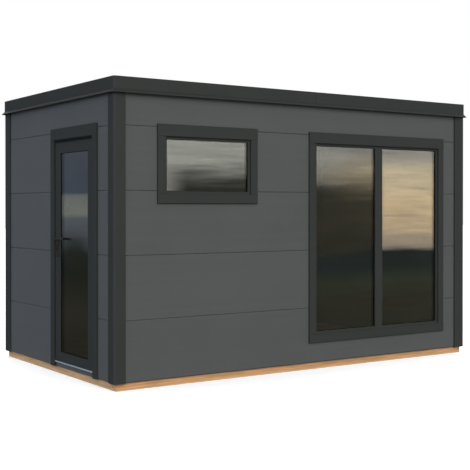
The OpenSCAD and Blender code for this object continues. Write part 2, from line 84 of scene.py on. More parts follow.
class Body(Enum):
    """The CAD bodies that pieces ride on."""

    CABIN = "cabin"
    DOOR = "door"


class Grain(Enum):
    """The way that a timber's fibres run, as an index into X, Y, Z."""

    ALONG_X = 0
    ALONG_Y = 1


class Side(Enum):
    """The wall that a pane or a card belongs to."""

    FRONT = "front"
    LEFT = "left"

    def split(self, corner: Vector) -> tuple[float, float]:
        """A corner's place along the wall and its place across it."""
        return (corner.x, corner.y) if self is Side.FRONT else (corner.y, corner.x)

    def point(self, along: float, across: float, up: float) -> Point:
        """A point from its place along the wall, its place across it and its height."""
        return (along, across, up) if self is Side.FRONT else (across, along, up)


class Term:
    """One output of a node. Sums written on it add Math nodes to its tree."""

    def __init__(self, tree: "Tree", socket: bpy.types.NodeSocket) -> None:
        """Keeps the tree and the socket.

        Args:
            tree: the tree that the socket is in.
            socket: an output socket of one of its nodes.
        """
        self.tree = tree
        self.socket = socket

    def _math(self, operation: str, first: Operand, second: Operand) -> "Term":
        """Adds one Math node.

        Args:
            operation: the Math node's operation.
            first: its first value.
            second: its second value.

        Returns:
            The result.
        """
        return self.tree.node("ShaderNodeMath", {"operation": operation}, {0: first, 1: second})

    def __add__(self, other: Operand) -> "Term":
        """Sum."""
        return self._math("ADD", self, other)

    def __radd__(self, other: Operand) -> "Term":
        """Sum with a number in front."""
        return self._math("ADD", other, self)

    def __sub__(self, other: Operand) -> "Term":
        """Difference."""
        return self._math("SUBTRACT", self, other)

    def __rsub__(self, other: Operand) -> "Term":
        """Difference from a number."""
        return self._math("SUBTRACT", other, self)

    def __mul__(self, other: Operand) -> "Term":
        """Product."""
        return self._math("MULTIPLY", self, other)

    def __rmul__(self, other: Operand) -> "Term":
        """Product with a number in front."""
        return self._math("MULTIPLY", other, self)

    def __truediv__(self, other: Operand) -> "Term":
        """Quotient."""
        return self._math("DIVIDE", self, other)

    def __pow__(self, other: Operand) -> "Term":
        """Power."""
        return self._math("POWER", self, other)

    def most(self, other: Operand) -> "Term":
        """The larger of two values."""
        return self._math("MAXIMUM", self, other)

    def fraction(self) -> "Term":
        """The part after the decimal point."""
        return self._math("FRACT", self, 0.0)

    def step(self, low: float, high: float) -> "Term":
        """A smooth rise from 0 at low to 1 at high, or a fall where low is the larger.

        Args:
            low: the value that gives 0.
            high: the value that gives 1.

        Returns:
            The share, from 0 to 1.
        """
        up = low < high
        ends = {"From Min": min(low, high), "From Max": max(low, high)}
        to = {"To Min": 0.0 if up else 1.0, "To Max": 1.0 if up else 0.0}
        settings = {"interpolation_type": "SMOOTHSTEP"}
        return self.tree.node("ShaderNodeMapRange", settings, {"Value": self, **ends, **to})


class Tree:
    """A node tree whose nodes are all added by one method."""

    def __init__(self, tree: bpy.types.NodeTree) -> None:
        """Takes an empty node tree."""
        self.tree = tree

    def node(
        self,
        kind: str,
        settings: Optional[dict[str, Any]] = None,
        sockets: Optional[dict[Union[str, int], Any]] = None,
        output: Union[str, int] = 0,
    ) -> Term:
        """Adds a node.

        Args:
            kind: the node's type.
            settings: its properties, and under "stops" a colour ramp's stops.
            sockets: values or Terms for its inputs, by name or number, or a list of Terms.
            output: the output that is wanted, by name or number.

        Returns:
            That output.
        """
        made = self.tree.nodes.new(kind)
        for key, value in (settings or {}).items():
            if key == "stops":
                self._set_stops(made.color_ramp, value)
            else:
                setattr(made, key, value)
        for key, value in (sockets or {}).items():
            socket = made.inputs[key]
            terms = value if isinstance(value, list) else [value]
            for term in terms:
                if isinstance(term, Term):
                    self.tree.links.new(term.socket, socket)
                else:
                    socket.default_value = term
        return Term(self, made.outputs[output]) if len(made.outputs) else Term(self, None)

    @staticmethod
    def _set_stops(ramp: bpy.types.ColorRamp, stops: Sequence[tuple[float, Colour]]) -> None:
        """Gives a colour ramp its stops.

        Args:
            ramp: the ramp.
            stops: places from 0 to 1, each with a colour.
        """
        while len(ramp.elements) < len(stops):
            ramp.elements.new(1.0)
        for element, (place, colour) in zip(ramp.elements, stops):
            element.position = place
            element.color = (*colour, 1.0)


class Shader(Tree):
    """The nodes of one material."""

    def __init__(self, name: str) -> None:
        """Makes an empty material.

        Args:
            name: the material's name.
        """
        self.material = bpy.data.materials.new(name)
        self.material.use_nodes = True
        super().__init__(self.material.node_tree)
        self.tree.nodes.clear()

    def coords(self) -> Term:
        """The place on the object."""
        return self.node("ShaderNodeTexCoord", output="Object")

    def facing(self) -> Term:
        """The direction that the surface faces, in the object's own frame."""
        return self.node("ShaderNodeTexCoord", output="Normal")

    def axis(self, vector: Term, name: str) -> Term:
        """One coordinate of a vector: X, Y or Z."""
        return self.node("ShaderNodeSeparateXYZ", sockets={"Vector": vector}, output=name)

    def mapped(self, vector: Term, scale: Point, shift: Point = (0.0, 0.0, 0.0)) -> Term:
        """A vector shifted and then scaled.

        Args:
            vector: the place.
            scale: the factor along each axis.
            shift: the place that becomes the origin.

        Returns:
            The new vector.
        """
        moved = tuple(-s * k for s, k in zip(shift, scale))
        return self.node(
            "ShaderNodeMapping", sockets={"Vector": vector, "Scale": scale, "Location": moved}
        )

    def noise(self, vector: Term, scale: float, detail: float = 3.0, rough: float = 0.5) -> Term:
        """Soft noise from 0 to 1.

        Args:
            vector: the place.
            scale: how many blots a metre.
            detail: how many finer layers.
            rough: how strong each finer layer is.

        Returns:
            The noise.
        """
        sockets = {"Vector": vector, "Scale": scale, "Detail": detail, "Roughness": rough}
        return self.node("ShaderNodeTexNoise", sockets=sockets, output=0)

    def grain(self, vector: Term, scale: Point, detail: float = 3.0, rough: float = 0.6) -> Term:
        """Noise that is drawn out along an axis.

        Args:
            vector: the place.
            scale: how many blots a metre along each axis.
            detail: how many finer layers.
            rough: how strong each finer layer is.

        Returns:
            The noise.
        """
        return self.noise(self.mapped(vector, scale), 1.0, detail, rough)

    def specks(self, vector: Term, scale: float) -> Term:
        """The distance to the nearest of scattered points, in cells.

        Args:
            vector: the place.
            scale: how many points a metre.

        Returns:
            The distance.
        """
        return self.node("ShaderNodeTexVoronoi", sockets={"Vector": vector, "Scale": scale})

    def mix(self, factor: Operand, first: Any, second: Any) -> Term:
        """A colour between two.

        Args:
            factor: the share of the second.
            first: a colour or a Term.
            second: a colour or a Term.

        Returns:
            The colour.
        """
        ends = [c if isinstance(c, Term) else (*c, 1.0) for c in (first, second)]
        settings = {"data_type": "RGBA", "blend_type": "MIX", "clamp_factor": True}
        sockets = {0: factor, 6: ends[0], 7: ends[1]}
        return self.node("ShaderNodeMix", settings, sockets, output=2)

    def tinted(self, colour: Any, factor: Term) -> Term:
        """A colour made lighter or darker.

        Args:
            colour: a colour or a Term.
            factor: the factor, round 1.

        Returns:
            The colour.
        """
        grey = self.node("ShaderNodeCombineXYZ", sockets={0: factor, 1: factor, 2: factor})
        start = colour if isinstance(colour, Term) else tuple(colour)
        return self.node("ShaderNodeVectorMath", {"operation": "MULTIPLY"}, {0: start, 1: grey})

    def bump(
        self, height: Term, strength: float, depth: float, over: Optional[Term] = None
    ) -> Term:
        """A normal that follows a height.

        Args:
            height: the height, from 0 to 1.
            strength: how much of it shows.
            depth: the height in metres of 1.
            over: a normal to add it to.

        Returns:
            The normal.
        """
        sockets: dict[Union[str, int], Any] = {"Height": height, "Strength": strength}
        sockets["Distance"] = depth
        if over is not None:
            sockets["Normal"] = over
        return self.node("ShaderNodeBump", sockets=sockets)

    def surface(self, **sockets: Any) -> bpy.types.Material:
        """Ends the material in a Principled shader.

        Args:
            sockets: its inputs, with underscores for the spaces in their names.

        Returns:
            The finished material.
        """
        named = {self._title(key): self._full(value) for key, value in sockets.items()}
        shader = self.node("ShaderNodeBsdfPrincipled", sockets=named)
        self.node("ShaderNodeOutputMaterial", sockets={"Surface": shader})
        return self.material

    @staticmethod
    def _title(key: str) -> str:
        """A socket's name from an argument's name."""
        return " ".join("IOR" if w == "ior" else w.capitalize() for w in key.split("_"))

    @staticmethod
    def _full(value: Any) -> Any:
        """A colour with its fourth number, or the value as it is."""
        return (*value, 1.0) if isinstance(value, tuple) and len(value) == 3 else value


@dataclass(frozen=True)
class PanelCoat:
    """Matt grey coat on the wall panels: a fine emboss, faint streaks and dust at the foot."""

    name: str = "panel_coat"
    tone: Colour = (0.0912, 0.0954, 0.0956)
    dust: Colour = (0.150, 0.135, 0.110)
    dust_from: float = 0.30
    dust_full: float = 0.06
    dust_share: float = 0.10
    cloud_scale: float = 1.7
    streak_scale: Point = (3.0, 3.0, 190.0)
    band_scale: Point = (0.5, 0.5, 26.0)
    emboss_scale: float = 420.0
    splash_scale: float = 26.0
    splash_drawn: Point = (1.0, 1.0, 0.35)
    relief: float = 0.0006
    rough: float = 0.52
    gloss: float = 0.2

    def material(self) -> bpy.types.Material:
        """Builds the material.

        Returns:
            The material.
        """
        s = Shader(self.name)
        place = s.coords()
        clouds = s.noise(place, self.cloud_scale, 4.0)
        streaks = s.grain(place, self.streak_scale)
        bands = s.grain(place, self.band_scale)
        emboss = s.noise(place, self.emboss_scale, 2.0)
        splash = s.noise(s.mapped(place, self.splash_drawn), self.splash_scale, 5.0, 0.65)
        low = s.axis(place, "Z").step(self.dust_from, self.dust_full)
        foot = low ** 2.0 * splash.step(0.35, 0.75)
        tone = s.tinted(self.tone, 0.82 + clouds * 0.14 + streaks * 0.08 + bands * 0.14)
        lines = s.bump(streaks, 0.10, self.relief)
        return s.surface(
            base_color=s.mix(foot * self.dust_share, tone, self.dust),
            roughness=self.rough + clouds * 0.08 + streaks * 0.06 + foot * 0.2,
            specular_ior_level=self.gloss,
            normal=s.bump(emboss, 0.22, self.relief, lines),
        )


@dataclass(frozen=True)
class PowderCoat:
    """Matt dark grey powder coat: orange peel, dust on level faces, and painted shade on faces that
    slope up at about 45 degrees.
    """

    name: str = "powder_coat"
    tone: Colour = (0.0404, 0.0434, 0.0415)
    dust: Colour = (0.120, 0.113, 0.100)
    dust_from: float = 0.30
    dust_full: float = 0.05
    dust_share: float = 0.07
    settled_share: float = 0.35
    # How much painted shade darkens the faces that slope up at about 45 degrees.
    painted_slope_shade_share: float = 0.44
    peel_scale: float = 330.0
    cloud_scale: float = 3.1
    fleck_scale: float = 900.0
    settled_scale: float = 9.0
    splash_scale: float = 30.0
    relief: float = 0.0005
    rough: float = 0.42
    gloss: float = 0.2

    def material(self) -> bpy.types.Material:
        """Builds the material.

        Returns:
            The material.
        """
        s = Shader(self.name)
        place = s.coords()
        peel = s.noise(place, self.peel_scale, 2.0, 0.4)
        clouds = s.noise(place, self.cloud_scale, 4.0)
        flecks = s.specks(place, self.fleck_scale).step(0.34, 0.16)
        up = s.axis(s.facing(), "Z")
        drifts = s.noise(place, self.settled_scale, 5.0, 0.7)
        settled = up.step(0.85, 0.98) * drifts.step(0.3, 0.7)
        # Painted shade: faces that slope up at about 30 to 60 degrees, such as the fascia's drip
        # lip, are made darker.
        painted_slope_shade = up.step(0.4, 0.6) * up.step(0.92, 0.8)
        low = s.axis(place, "Z").step(self.dust_from, self.dust_full)
        foot = low ** 2.0 * s.noise(place, self.splash_scale, 4.0, 0.65).step(0.4, 0.75)
        painted_slope_shade_factor = 1.0 - painted_slope_shade * self.painted_slope_shade_share
        tone = s.tinted(self.tone, (0.92 + clouds * 0.14 + flecks * 0.10) * painted_slope_shade_factor)
        dusty = (settled * self.settled_share).most(foot * self.dust_share)
        return s.surface(
            base_color=s.mix(dusty, tone, self.dust),
            roughness=self.rough + clouds * 0.10 + settled * 0.2 + foot * 0.15,
            specular_ior_level=self.gloss,
            normal=s.bump(peel, 0.14, self.relief),
        )


@dataclass(frozen=True)
class SawnTimber:
    """Sawn softwood: growth rings round a heart, knots, saw marks, and a painted pale band along
    the lower edge for light bounced up from the floor.
    """

    name: str
    grain: Grain
    heart: Point
    pale: Colour
    dull: Colour
    late: Colour = (0.390, 0.205, 0.105)
    knot: Colour = (0.120, 0.055, 0.025)
    # The paler tone of the painted floor light along the lower edge, how high it reaches and its
    # share.
    weathered: Colour = (0.300, 0.250, 0.195)
    painted_floor_light: Colour = (0.760, 0.500, 0.300)
    painted_floor_light_to: float = 0.036
    painted_floor_light_share: float = 0.4
    weathered_share: float = 0.18
    ring: float = 0.0085
    ring_sway: float = 0.030
    knot_swell: float = 0.008
    saw_depth: float = 0.0010
    fibre_depth: float = 0.0008
    rough: float = 0.74
    gloss: float = 0.3

    def drawn(self, along: float, across: float) -> Point:
        """Scales along the fibres and across them."""
        return tuple(along if i == self.grain.value else across for i in range(3))

    def material(self) -> bpy.types.Material:
        """Builds the material.

        Returns:
            The material.
        """
        s = Shader(self.name)
        place = s.coords()
        up = s.axis(place, "Z")
        slow = s.mapped(place, self.drawn(0.10, 1.0))
        sway = s.noise(slow, 9.0, 3.0, 0.55)
        patches = s.noise(slow, 5.0, 4.0, 0.6)
        fibres = s.grain(place, self.drawn(9.0, 520.0))
        saw = s.grain(place, self.drawn(260.0, 14.0), 2.0, 0.5)
        blush = s.grain(place, self.drawn(3.2, 34.0), 4.0, 0.65)
        eye = s.specks(s.mapped(place, self.drawn(2.1, 9.0)), 1.0).step(0.16, 0.05)
        across = 1 - self.grain.value
        side = s.axis(place, "XY"[across]) - self.heart[across]
        rise = up - self.heart[2]
        radius = (side * side + rise * rise) ** 0.5
        radius = radius + sway * self.ring_sway + eye * self.knot_swell
        rings = (radius / self.ring).fraction()
        late = rings.step(0.45, 0.92) * rings.step(1.0, 0.94)
        wood = s.mix(blush.step(0.58, 0.46), self.pale, self.dull)
        wood = s.mix(late * 0.75, wood, self.late)
        wood = s.mix(eye * 0.9, wood, self.knot)
        wood = s.tinted(wood, 0.10 + fibres * 0.36 + patches * 0.64 + blush * 0.80)
        wood = s.mix(patches.step(0.55, 0.8) * self.weathered_share, wood, self.weathered)
        # Painted light: the lowest 36 mm are made paler, standing in for light bounced up from the
        # floor.
        edge = up.step(self.painted_floor_light_to, 0.0)
        relief = s.bump(saw, 0.25, self.saw_depth)
        return s.surface(
            base_color=s.mix(edge * self.painted_floor_light_share, wood, self.painted_floor_light),
            roughness=self.rough + fibres * 0.14 - late * 0.08,
            specular_ior_level=self.gloss,
            normal=s.bump(fibres - late * 0.3, 0.30, self.fibre_depth, relief),
        )


@dataclass(frozen=True)
class PlanedBoards:
    """Planed floor boards, each with a tone and figure of its own."""

    name: str = "planed_boards"
    tone_attribute: str = "board_tone"
    pale: Colour = (0.520, 0.335, 0.180)
    late: Colour = (0.380, 0.215, 0.105)
    knot: Colour = (0.130, 0.062, 0.030)
    ring: float = 0.007
    ring_sway: float = 0.22
    shift_along: float = 7.0
    shift_up: float = 3.0
    relief: float = 0.0006
    rough: float = 0.48
    gloss: float = 0.4

    def material(self) -> bpy.types.Material:
        """Builds the material.

        Returns:
            The material.
        """
        s = Shader(self.name)
        settings = {"attribute_type": "GEOMETRY", "attribute_name": self.tone_attribute}
        tone = s.node("ShaderNodeAttribute", settings, output="Fac")
        shift = {0: tone * self.shift_along, 2: tone * self.shift_up}
        offset = s.node("ShaderNodeCombineXYZ", sockets=shift)
        own = s.node("ShaderNodeVectorMath", {"operation": "ADD"}, {0: s.coords(), 1: offset})
        sway = s.noise(s.mapped(own, (0.5, 5.0, 5.0)), 1.6, 3.0, 0.55)
        rings = (sway * self.ring_sway / self.ring).fraction()
        late = rings.step(0.35, 0.9) * rings.step(1.0, 0.93)
        eye = s.specks(s.mapped(own, (1.7, 6.5, 1.0)), 1.0).step(0.13, 0.05)
        fibres = s.grain(own, (8.0, 420.0, 420.0))
        wood = s.mix(late * 0.6, self.pale, self.late)
        wood = s.mix(eye * 0.9, wood, self.knot)
        return s.surface(
            base_color=s.tinted(wood, 0.72 + tone * 0.24 + fibres * 0.22),
            roughness=self.rough + fibres * 0.16,
            specular_ior_level=self.gloss,
            normal=s.bump(fibres, 0.16, self.relief),
        )


@dataclass(frozen=True)
class RoofSheet:
    """Matt black roofing sheet with soft wrinkles, dust and dried puddle edges."""

    name: str = "roof_sheet"
    tone: Colour = (0.020, 0.022, 0.023)
    dust: Colour = (0.105, 0.098, 0.085)
    dust_share: float = 0.22
    tide_share: float = 0.06
    wrinkle_drawn: Point = (1.0, 2.2, 1.0)
    wrinkle_scale: float = 2.4
    grit_scale: float = 240.0
    pool_scale: float = 0.9
    dust_scale: float = 19.0
    grit_depth: float = 0.0006
    wrinkle_depth: float = 0.010
    rough: float = 0.66
    gloss: float = 0.35

    def material(self) -> bpy.types.Material:
        """Builds the material.

        Returns:
            The material.
        """
        s = Shader(self.name)
        place = s.coords()
        wrinkles = s.noise(s.mapped(place, self.wrinkle_drawn), self.wrinkle_scale, 4.0, 0.55)
        grit = s.noise(place, self.grit_scale, 3.0, 0.6)
        pools = s.noise(place, self.pool_scale, 2.0, 0.4)
        tide = pools.step(0.48, 0.56) * pools.step(0.68, 0.58)
        drifts = s.noise(place, self.dust_scale, 6.0, 0.7).step(0.30, 0.80)
        dusty = drifts * self.dust_share + tide * self.tide_share
        relief = s.bump(grit, 0.2, self.grit_depth)
        return s.surface(
            base_color=s.mix(dusty, s.tinted(self.tone, 0.8 + grit * 0.4), self.dust),
            roughness=self.rough + grit * 0.14 + dusty * 0.1,
            specular_ior_level=self.gloss,
            normal=s.bump(wrinkles, 0.5, self.wrinkle_depth, relief),
        )


@dataclass(frozen=True)
class Metal:
    """Satin metal with fine brush lines and dulled patches, less bright where it has oxidised."""

    name: str
    tone: Colour
    dulled: Colour
    rough: float
    bright: float = 1.0
    brush: Point = (900.0, 20.0, 900.0)
    mark_scale: float = 38.0
    relief: float = 0.0004

    def material(self) -> bpy.types.Material:
        """Builds the material.

        Returns:
            The material.
        """
        s = Shader(self.name)
        place = s.coords()
        lines = s.grain(place, self.brush, 2.0)
        worn = s.noise(place, self.mark_scale, 5.0, 0.65).step(0.45, 0.75)
        return s.surface(
            base_color=s.mix(worn * 0.6, s.tinted(self.tone, 0.88 + lines * 0.24), self.dulled),
            metallic=self.bright,
            roughness=self.rough + lines * 0.12 + worn * 0.14,
            normal=s.bump(lines, 0.10, self.relief),
        )


@dataclass(frozen=True)
class BronzeLacquer:
    """Dark bronze lacquer on the door furniture, rubbed brighter where hands meet it."""

    name: str = "bronze_lacquer"
    tone: Colour = (0.042, 0.036, 0.031)
    rubbed: Colour = (0.066, 0.054, 0.044)
    hand_scale: float = 22.0
    pit_scale: float = 700.0
    relief: float = 0.0003
    bright: float = 0.10
    rough: float = 0.40
    gloss: float = 0.25

    def material(self) -> bpy.types.Material:
        """Builds the material.

        Returns:
            The material.
        """
        s = Shader(self.name)
        place = s.coords()
        pits = s.noise(place, self.pit_scale, 2.0, 0.5)
        rubbed = s.noise(place, self.hand_scale, 5.0, 0.6).step(0.52, 0.78)
        return s.surface(
            base_color=s.mix(rubbed * 0.6, s.tinted(self.tone, 0.8 + pits * 0.4), self.rubbed),
            metallic=self.bright + rubbed * 0.3,
            roughness=self.rough + pits * 0.12 - rubbed * 0.06,
            specular_ior_level=self.gloss,
            normal=s.bump(pits, 0.12, self.relief),
        )


@dataclass(frozen=True)
class BlackRubber:
    """Matt black rubber with a bloom of dust."""

    name: str = "black_rubber"
    tone: Colour = (0.0085, 0.0090, 0.0085)
    bloom: Colour = (0.045, 0.043, 0.040)
    skin_scale: float = 600.0
    dust_scale: float = 45.0
    relief: float = 0.0003
    rough: float = 0.66
    gloss: float = 0.35

    def material(self) -> bpy.types.Material:
        """Builds the material.

        Returns:
            The material.
        """
        s = Shader(self.name)
        place = s.coords()
        skin = s.noise(place, self.skin_scale, 2.0, 0.5)
        dusty = s.noise(place, self.dust_scale, 5.0, 0.65).step(0.4, 0.8)
        return s.surface(
            base_color=s.mix(dusty * 0.45, self.tone, self.bloom),
            roughness=self.rough + skin * 0.12 + dusty * 0.1,
            specular_ior_level=self.gloss,
            normal=s.bump(skin, 0.15, self.relief),
        )


@dataclass(frozen=True)
class Glazing:
    """Clear float glass with the slight green of its body and faint wipe marks."""

    name: str = "glazing"
    tone: Colour = (0.90, 0.94, 0.925)
    wipe_drawn: Point = (6.0, 6.0, 1.6)
    wipe_scale: float = 3.0
    rough: float = 0.004
    wiped_rough: float = 0.03
    ior: float = 1.5

    def material(self) -> bpy.types.Material:
        """Builds the material.

        Returns:
            The material.
        """
        s = Shader(self.name)
        wipes = s.noise(s.mapped(s.coords(), self.wipe_drawn), self.wipe_scale, 4.0, 0.6)
        return s.surface(
            base_color=self.tone,
            roughness=self.rough + wipes.step(0.55, 0.85) * self.wiped_rough,
            transmission_weight=1.0,
            ior=self.ior,
        )


class Pattern(Tree):
    """A Geometry Nodes tree with named sizes, which ends as one plain mesh."""

    def __init__(self, name: str) -> None:
        """Makes an empty tree with a geometry input and output.

        Args:
            name: the tree's name.
        """
        tree = bpy.data.node_groups.new(name, "GeometryNodeTree")
        tree.interface.new_socket("Geometry", in_out="INPUT", socket_type="NodeSocketGeometry")
        tree.interface.new_socket("Geometry", in_out="OUTPUT", socket_type="NodeSocketGeometry")
        super().__init__(tree)
        self.values: dict[str, Any] = {}
        self.entry = tree.nodes.new("NodeGroupInput")

    def source(self) -> Term:
        """The geometry that the tree starts from."""
        return Term(self, self.entry.outputs["Geometry"])

    def size(self, name: str, value: Any, kind: str = "NodeSocketFloat") -> Term:
        """Adds a named input and keeps the value that it will be given.

        Args:
            name: the input's name.
            value: its value.
            kind: its socket type.

        Returns:
            The input, for use in the tree.
        """
        item = self.tree.interface.new_socket(name, in_out="INPUT", socket_type=kind)
        self.values[item.identifier] = value
        return Term(self, self.entry.outputs[name])

    def make(
        self, name: str, start: bpy.types.Mesh, made: Term, finish: bpy.types.Material
    ) -> bpy.types.Object:
        """Closes the tree and turns its result into an object with a plain mesh.

        Args:
            name: the object's name.
            start: the mesh that the tree starts from.
            made: the geometry to end with.
            finish: the material.

        Returns:
            The object.
        """
        finish_input = self.size("Finish", finish, "NodeSocketMaterial")
        whole = self.node("GeometryNodeRealizeInstances", sockets={"Geometry": made})
        dressed = self.node(
            "GeometryNodeSetMaterial", sockets={"Geometry": whole, "Material": finish_input}
        )
        self.node("NodeGroupOutput", sockets={"Geometry": dressed})
        obj = link(name, start)
        modifier = obj.modifiers.new(self.tree.name, "NODES")
        modifier.node_group = self.tree
        for identifier, value in self.values.items():
            modifier[identifier] = value
        evaluated = obj.evaluated_get(bpy.context.evaluated_depsgraph_get())
        mesh = bpy.data.meshes.new_from_object(evaluated)
        obj.modifiers.remove(modifier)
        obj.data = mesh
        mesh.name = name
        return obj


def link(name: str, mesh: bpy.types.Mesh) -> bpy.types.Object:
    """Puts a mesh in the scene.

    Args:
        name: the object's name.
        mesh: its mesh.

    Returns:
        The object.
    """
    obj = bpy.data.objects.new(name, mesh)
    bpy.context.scene.collection.objects.link(obj)
    return obj


def mesh_of(name: str, build: bmesh.types.BMesh) -> bpy.types.Mesh:
    """A mesh from a bmesh, which is then freed.

    Args:
        name: the mesh's name.
        build: the bmesh.

    Returns:
        The mesh.
    """
    mesh = bpy.data.meshes.new(name)
    build.to_mesh(mesh)
    build.free()
    return mesh


def chamfered_block(low: Point, high: Point, chamfer: float) -> bmesh.types.BMesh:
    """A block with chamfered edges.

    Args:
        low: its lowest corner.
        high: its highest corner.
        chamfer: the width of the chamfers.

    Returns:
        The block.
    """
    build = bmesh.new()
    bmesh.ops.create_cube(build, size=1.0)
    size = [b - a for a, b in zip(low, high)]
    middle = [(a + b) / 2 for a, b in zip(low, high)]
    bmesh.ops.scale(build, vec=size, verts=build.verts)
    bmesh.ops.translate(build, vec=middle, verts=build.verts)
    bmesh.ops.bevel(
        build,
        geom=build.edges[:],
        offset=chamfer,
        segments=CHAMFER_STEPS,
        profile=CHAMFER_PROFILE,
        affect="EDGES",
    )
    bmesh.ops.recalc_face_normals(build, faces=build.faces)
    return build


def ridden(obj: bpy.types.Object, body: Body) -> bpy.types.Object:
    """Lets a piece ride on a body and reports it.

    Args:
        obj: the piece.
        body: the body.

    Returns:
        The piece.
    """
    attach(obj, body.value)
    log.info("%s: %d faces, rides on %s", obj.name, len(obj.data.polygons), body.value)
    return obj


def row_of(
    name: str, unit: bpy.types.Mesh, count: int, step: Point, finish: bpy.types.Material, seed: int
) -> bpy.types.Object:
    """Repeats one shape along a line, each copy with a random tone of its own.

    Args:
        name: the piece's name.
        unit: the first copy's mesh, in its place.
        count: the number of copies.
        step: the way from one copy to the next.
        finish: the material.
        seed: the seed of the tones.

    Returns:
        The piece.
    """
    p = Pattern(name + "_row")
    number = p.size("Copies", count, "NodeSocketInt")
    stride = p.size("Step", step, "NodeSocketVector")
    tone_seed = p.size("Tone seed", seed, "NodeSocketInt")
    line = p.node(
        "GeometryNodeMeshLine", {"mode": "OFFSET"}, {"Count": number, "Offset": stride}
    )
    sockets = {"Points": line, "Instance": p.source()}
    copies = p.node("GeometryNodeInstanceOnPoints", sockets=sockets)
    tone = p.node(
        "FunctionNodeRandomValue", {"data_type": "FLOAT"}, {"Seed": tone_seed}, output=1
    )
    toned = p.node(
        "GeometryNodeStoreNamedAttribute",
        {"data_type": "FLOAT", "domain": "INSTANCE"},
        {"Geometry": copies, "Name": PlanedBoards.tone_attribute, "Value": tone},
    )
    return p.make(name, unit, toned, finish)


@dataclass(frozen=True)
class Bead:
    """A round rubber bead that is swept along closed loops."""

    radius: float = 0.0018
    sides: int = 10
    corner_share: float = 1.6
    corner_steps: int = 4

    def sweep(
        self, name: str, loops: Iterable[Sequence[Point]], finish: bpy.types.Material
    ) -> bpy.types.Object:
        """Sweeps the bead.

        Args:
            name: the piece's name.
            loops: the corners of each loop.
            finish: the material.

        Returns:
            The piece.
        """
        path = bmesh.new()
        for corners in loops:
            verts = [path.verts.new(c) for c in corners]
            for a, b in zip(verts, verts[1:] + verts[:1]):
                path.edges.new((a, b))
        p = Pattern(name + "_sweep")
        bead = p.size("Bead radius", self.radius)
        bend = p.size("Corner radius", self.radius * self.corner_share)
        curve = p.node("GeometryNodeMeshToCurve", sockets={"Mesh": p.source()})
        rounding = {"Curve": curve, "Count": self.corner_steps, "Radius": bend}
        eased = p.node("GeometryNodeFilletCurve", {"mode": "POLY"}, rounding)
        section = {"Resolution": self.sides, "Radius": bead}
        ring = p.node("GeometryNodeCurvePrimitiveCircle", {"mode": "RADIUS"}, section)
        tube = p.node("GeometryNodeCurveToMesh", sockets={"Curve": eased, "Profile Curve": ring})
        shading = {"Geometry": tube, "Shade Smooth": True}
        smooth = p.node("GeometryNodeSetShadeSmooth", sockets=shading)
        return p.make(name, mesh_of(name + "_path", path), smooth, finish)


@dataclass(frozen=True)
class ScrewHead:
    """A cross-slotted screw head. All but its radius and sides are shares of another size."""

    radius: float = 0.0042
    sides: int = 20
    height: float = 0.36
    top: float = 0.72
    slot_length: float = 1.1
    slot_width: float = 0.26
    slot_lift: float = 0.9

    def shape(self, p: Pattern) -> Term:
        """Makes one head.

        Args:
            p: the pattern that it is made in.

        Returns:
            The head, on the origin and facing up.
        """
        r = p.size("Head radius", self.radius)
        rise = p.size("Head height", self.radius * self.height)
        cone = {"Vertices": self.sides, "Side Segments": 1, "Depth": rise}
        cone.update({"Radius Top": r * self.top, "Radius Bottom": r})
        head = p.node("GeometryNodeMeshCone", {"fill_type": "NGON"}, cone, output="Mesh")
        slots = []
        for long_axis in (0, 1):
            sides = {long_axis: r * self.slot_length, 1 - long_axis: r * self.slot_width, 2: rise}
            size = p.node("ShaderNodeCombineXYZ", sockets=sides)
            slots.append(p.node("GeometryNodeMeshCube", sockets={"Size": size}, output="Mesh"))
        cross = p.node("GeometryNodeJoinGeometry", sockets={0: slots})
        lift = p.node("ShaderNodeCombineXYZ", sockets={2: rise * self.slot_lift})
        cutter = p.node("GeometryNodeTransform", sockets={"Geometry": cross, "Translation": lift})
        boolean = {"operation": "DIFFERENCE", "solver": "EXACT"}
        meshes = {"Mesh 1": head, "Mesh 2": cutter, "Self Intersection": True}
        return p.node("GeometryNodeMeshBoolean", boolean, meshes, output="Mesh")

    def set_at(
        self, name: str, places: Sequence[tuple[Point, Point]], finish: bpy.types.Material
    ) -> bpy.types.Object:
        """Sets a head at each place.

        Args:
            name: the piece's name.
            places: for each screw, the point on the surface and the direction it faces.
            finish: the material.

        Returns:
            The piece.
        """
        points = bpy.data.meshes.new(name + "_points")
        points.from_pydata([place for place, _ in places], [], [])
        facing = points.attributes.new("facing", "FLOAT_VECTOR", "POINT")
        for item, (_, direction) in zip(facing.data, places):
            item.vector = direction
        p = Pattern(name + "_heads")
        vector = {"data_type": "FLOAT_VECTOR"}
        way = p.node("GeometryNodeInputNamedAttribute", vector, {"Name": facing.name})
        turn = p.node("FunctionNodeAlignRotationToVector", {"axis": "Z"}, {"Vector": way})
        sockets = {"Points": p.source(), "Instance": self.shape(p), "Rotation": turn}
        heads = p.node("GeometryNodeInstanceOnPoints", sockets=sockets)
        return p.make(name, points, heads, finish)


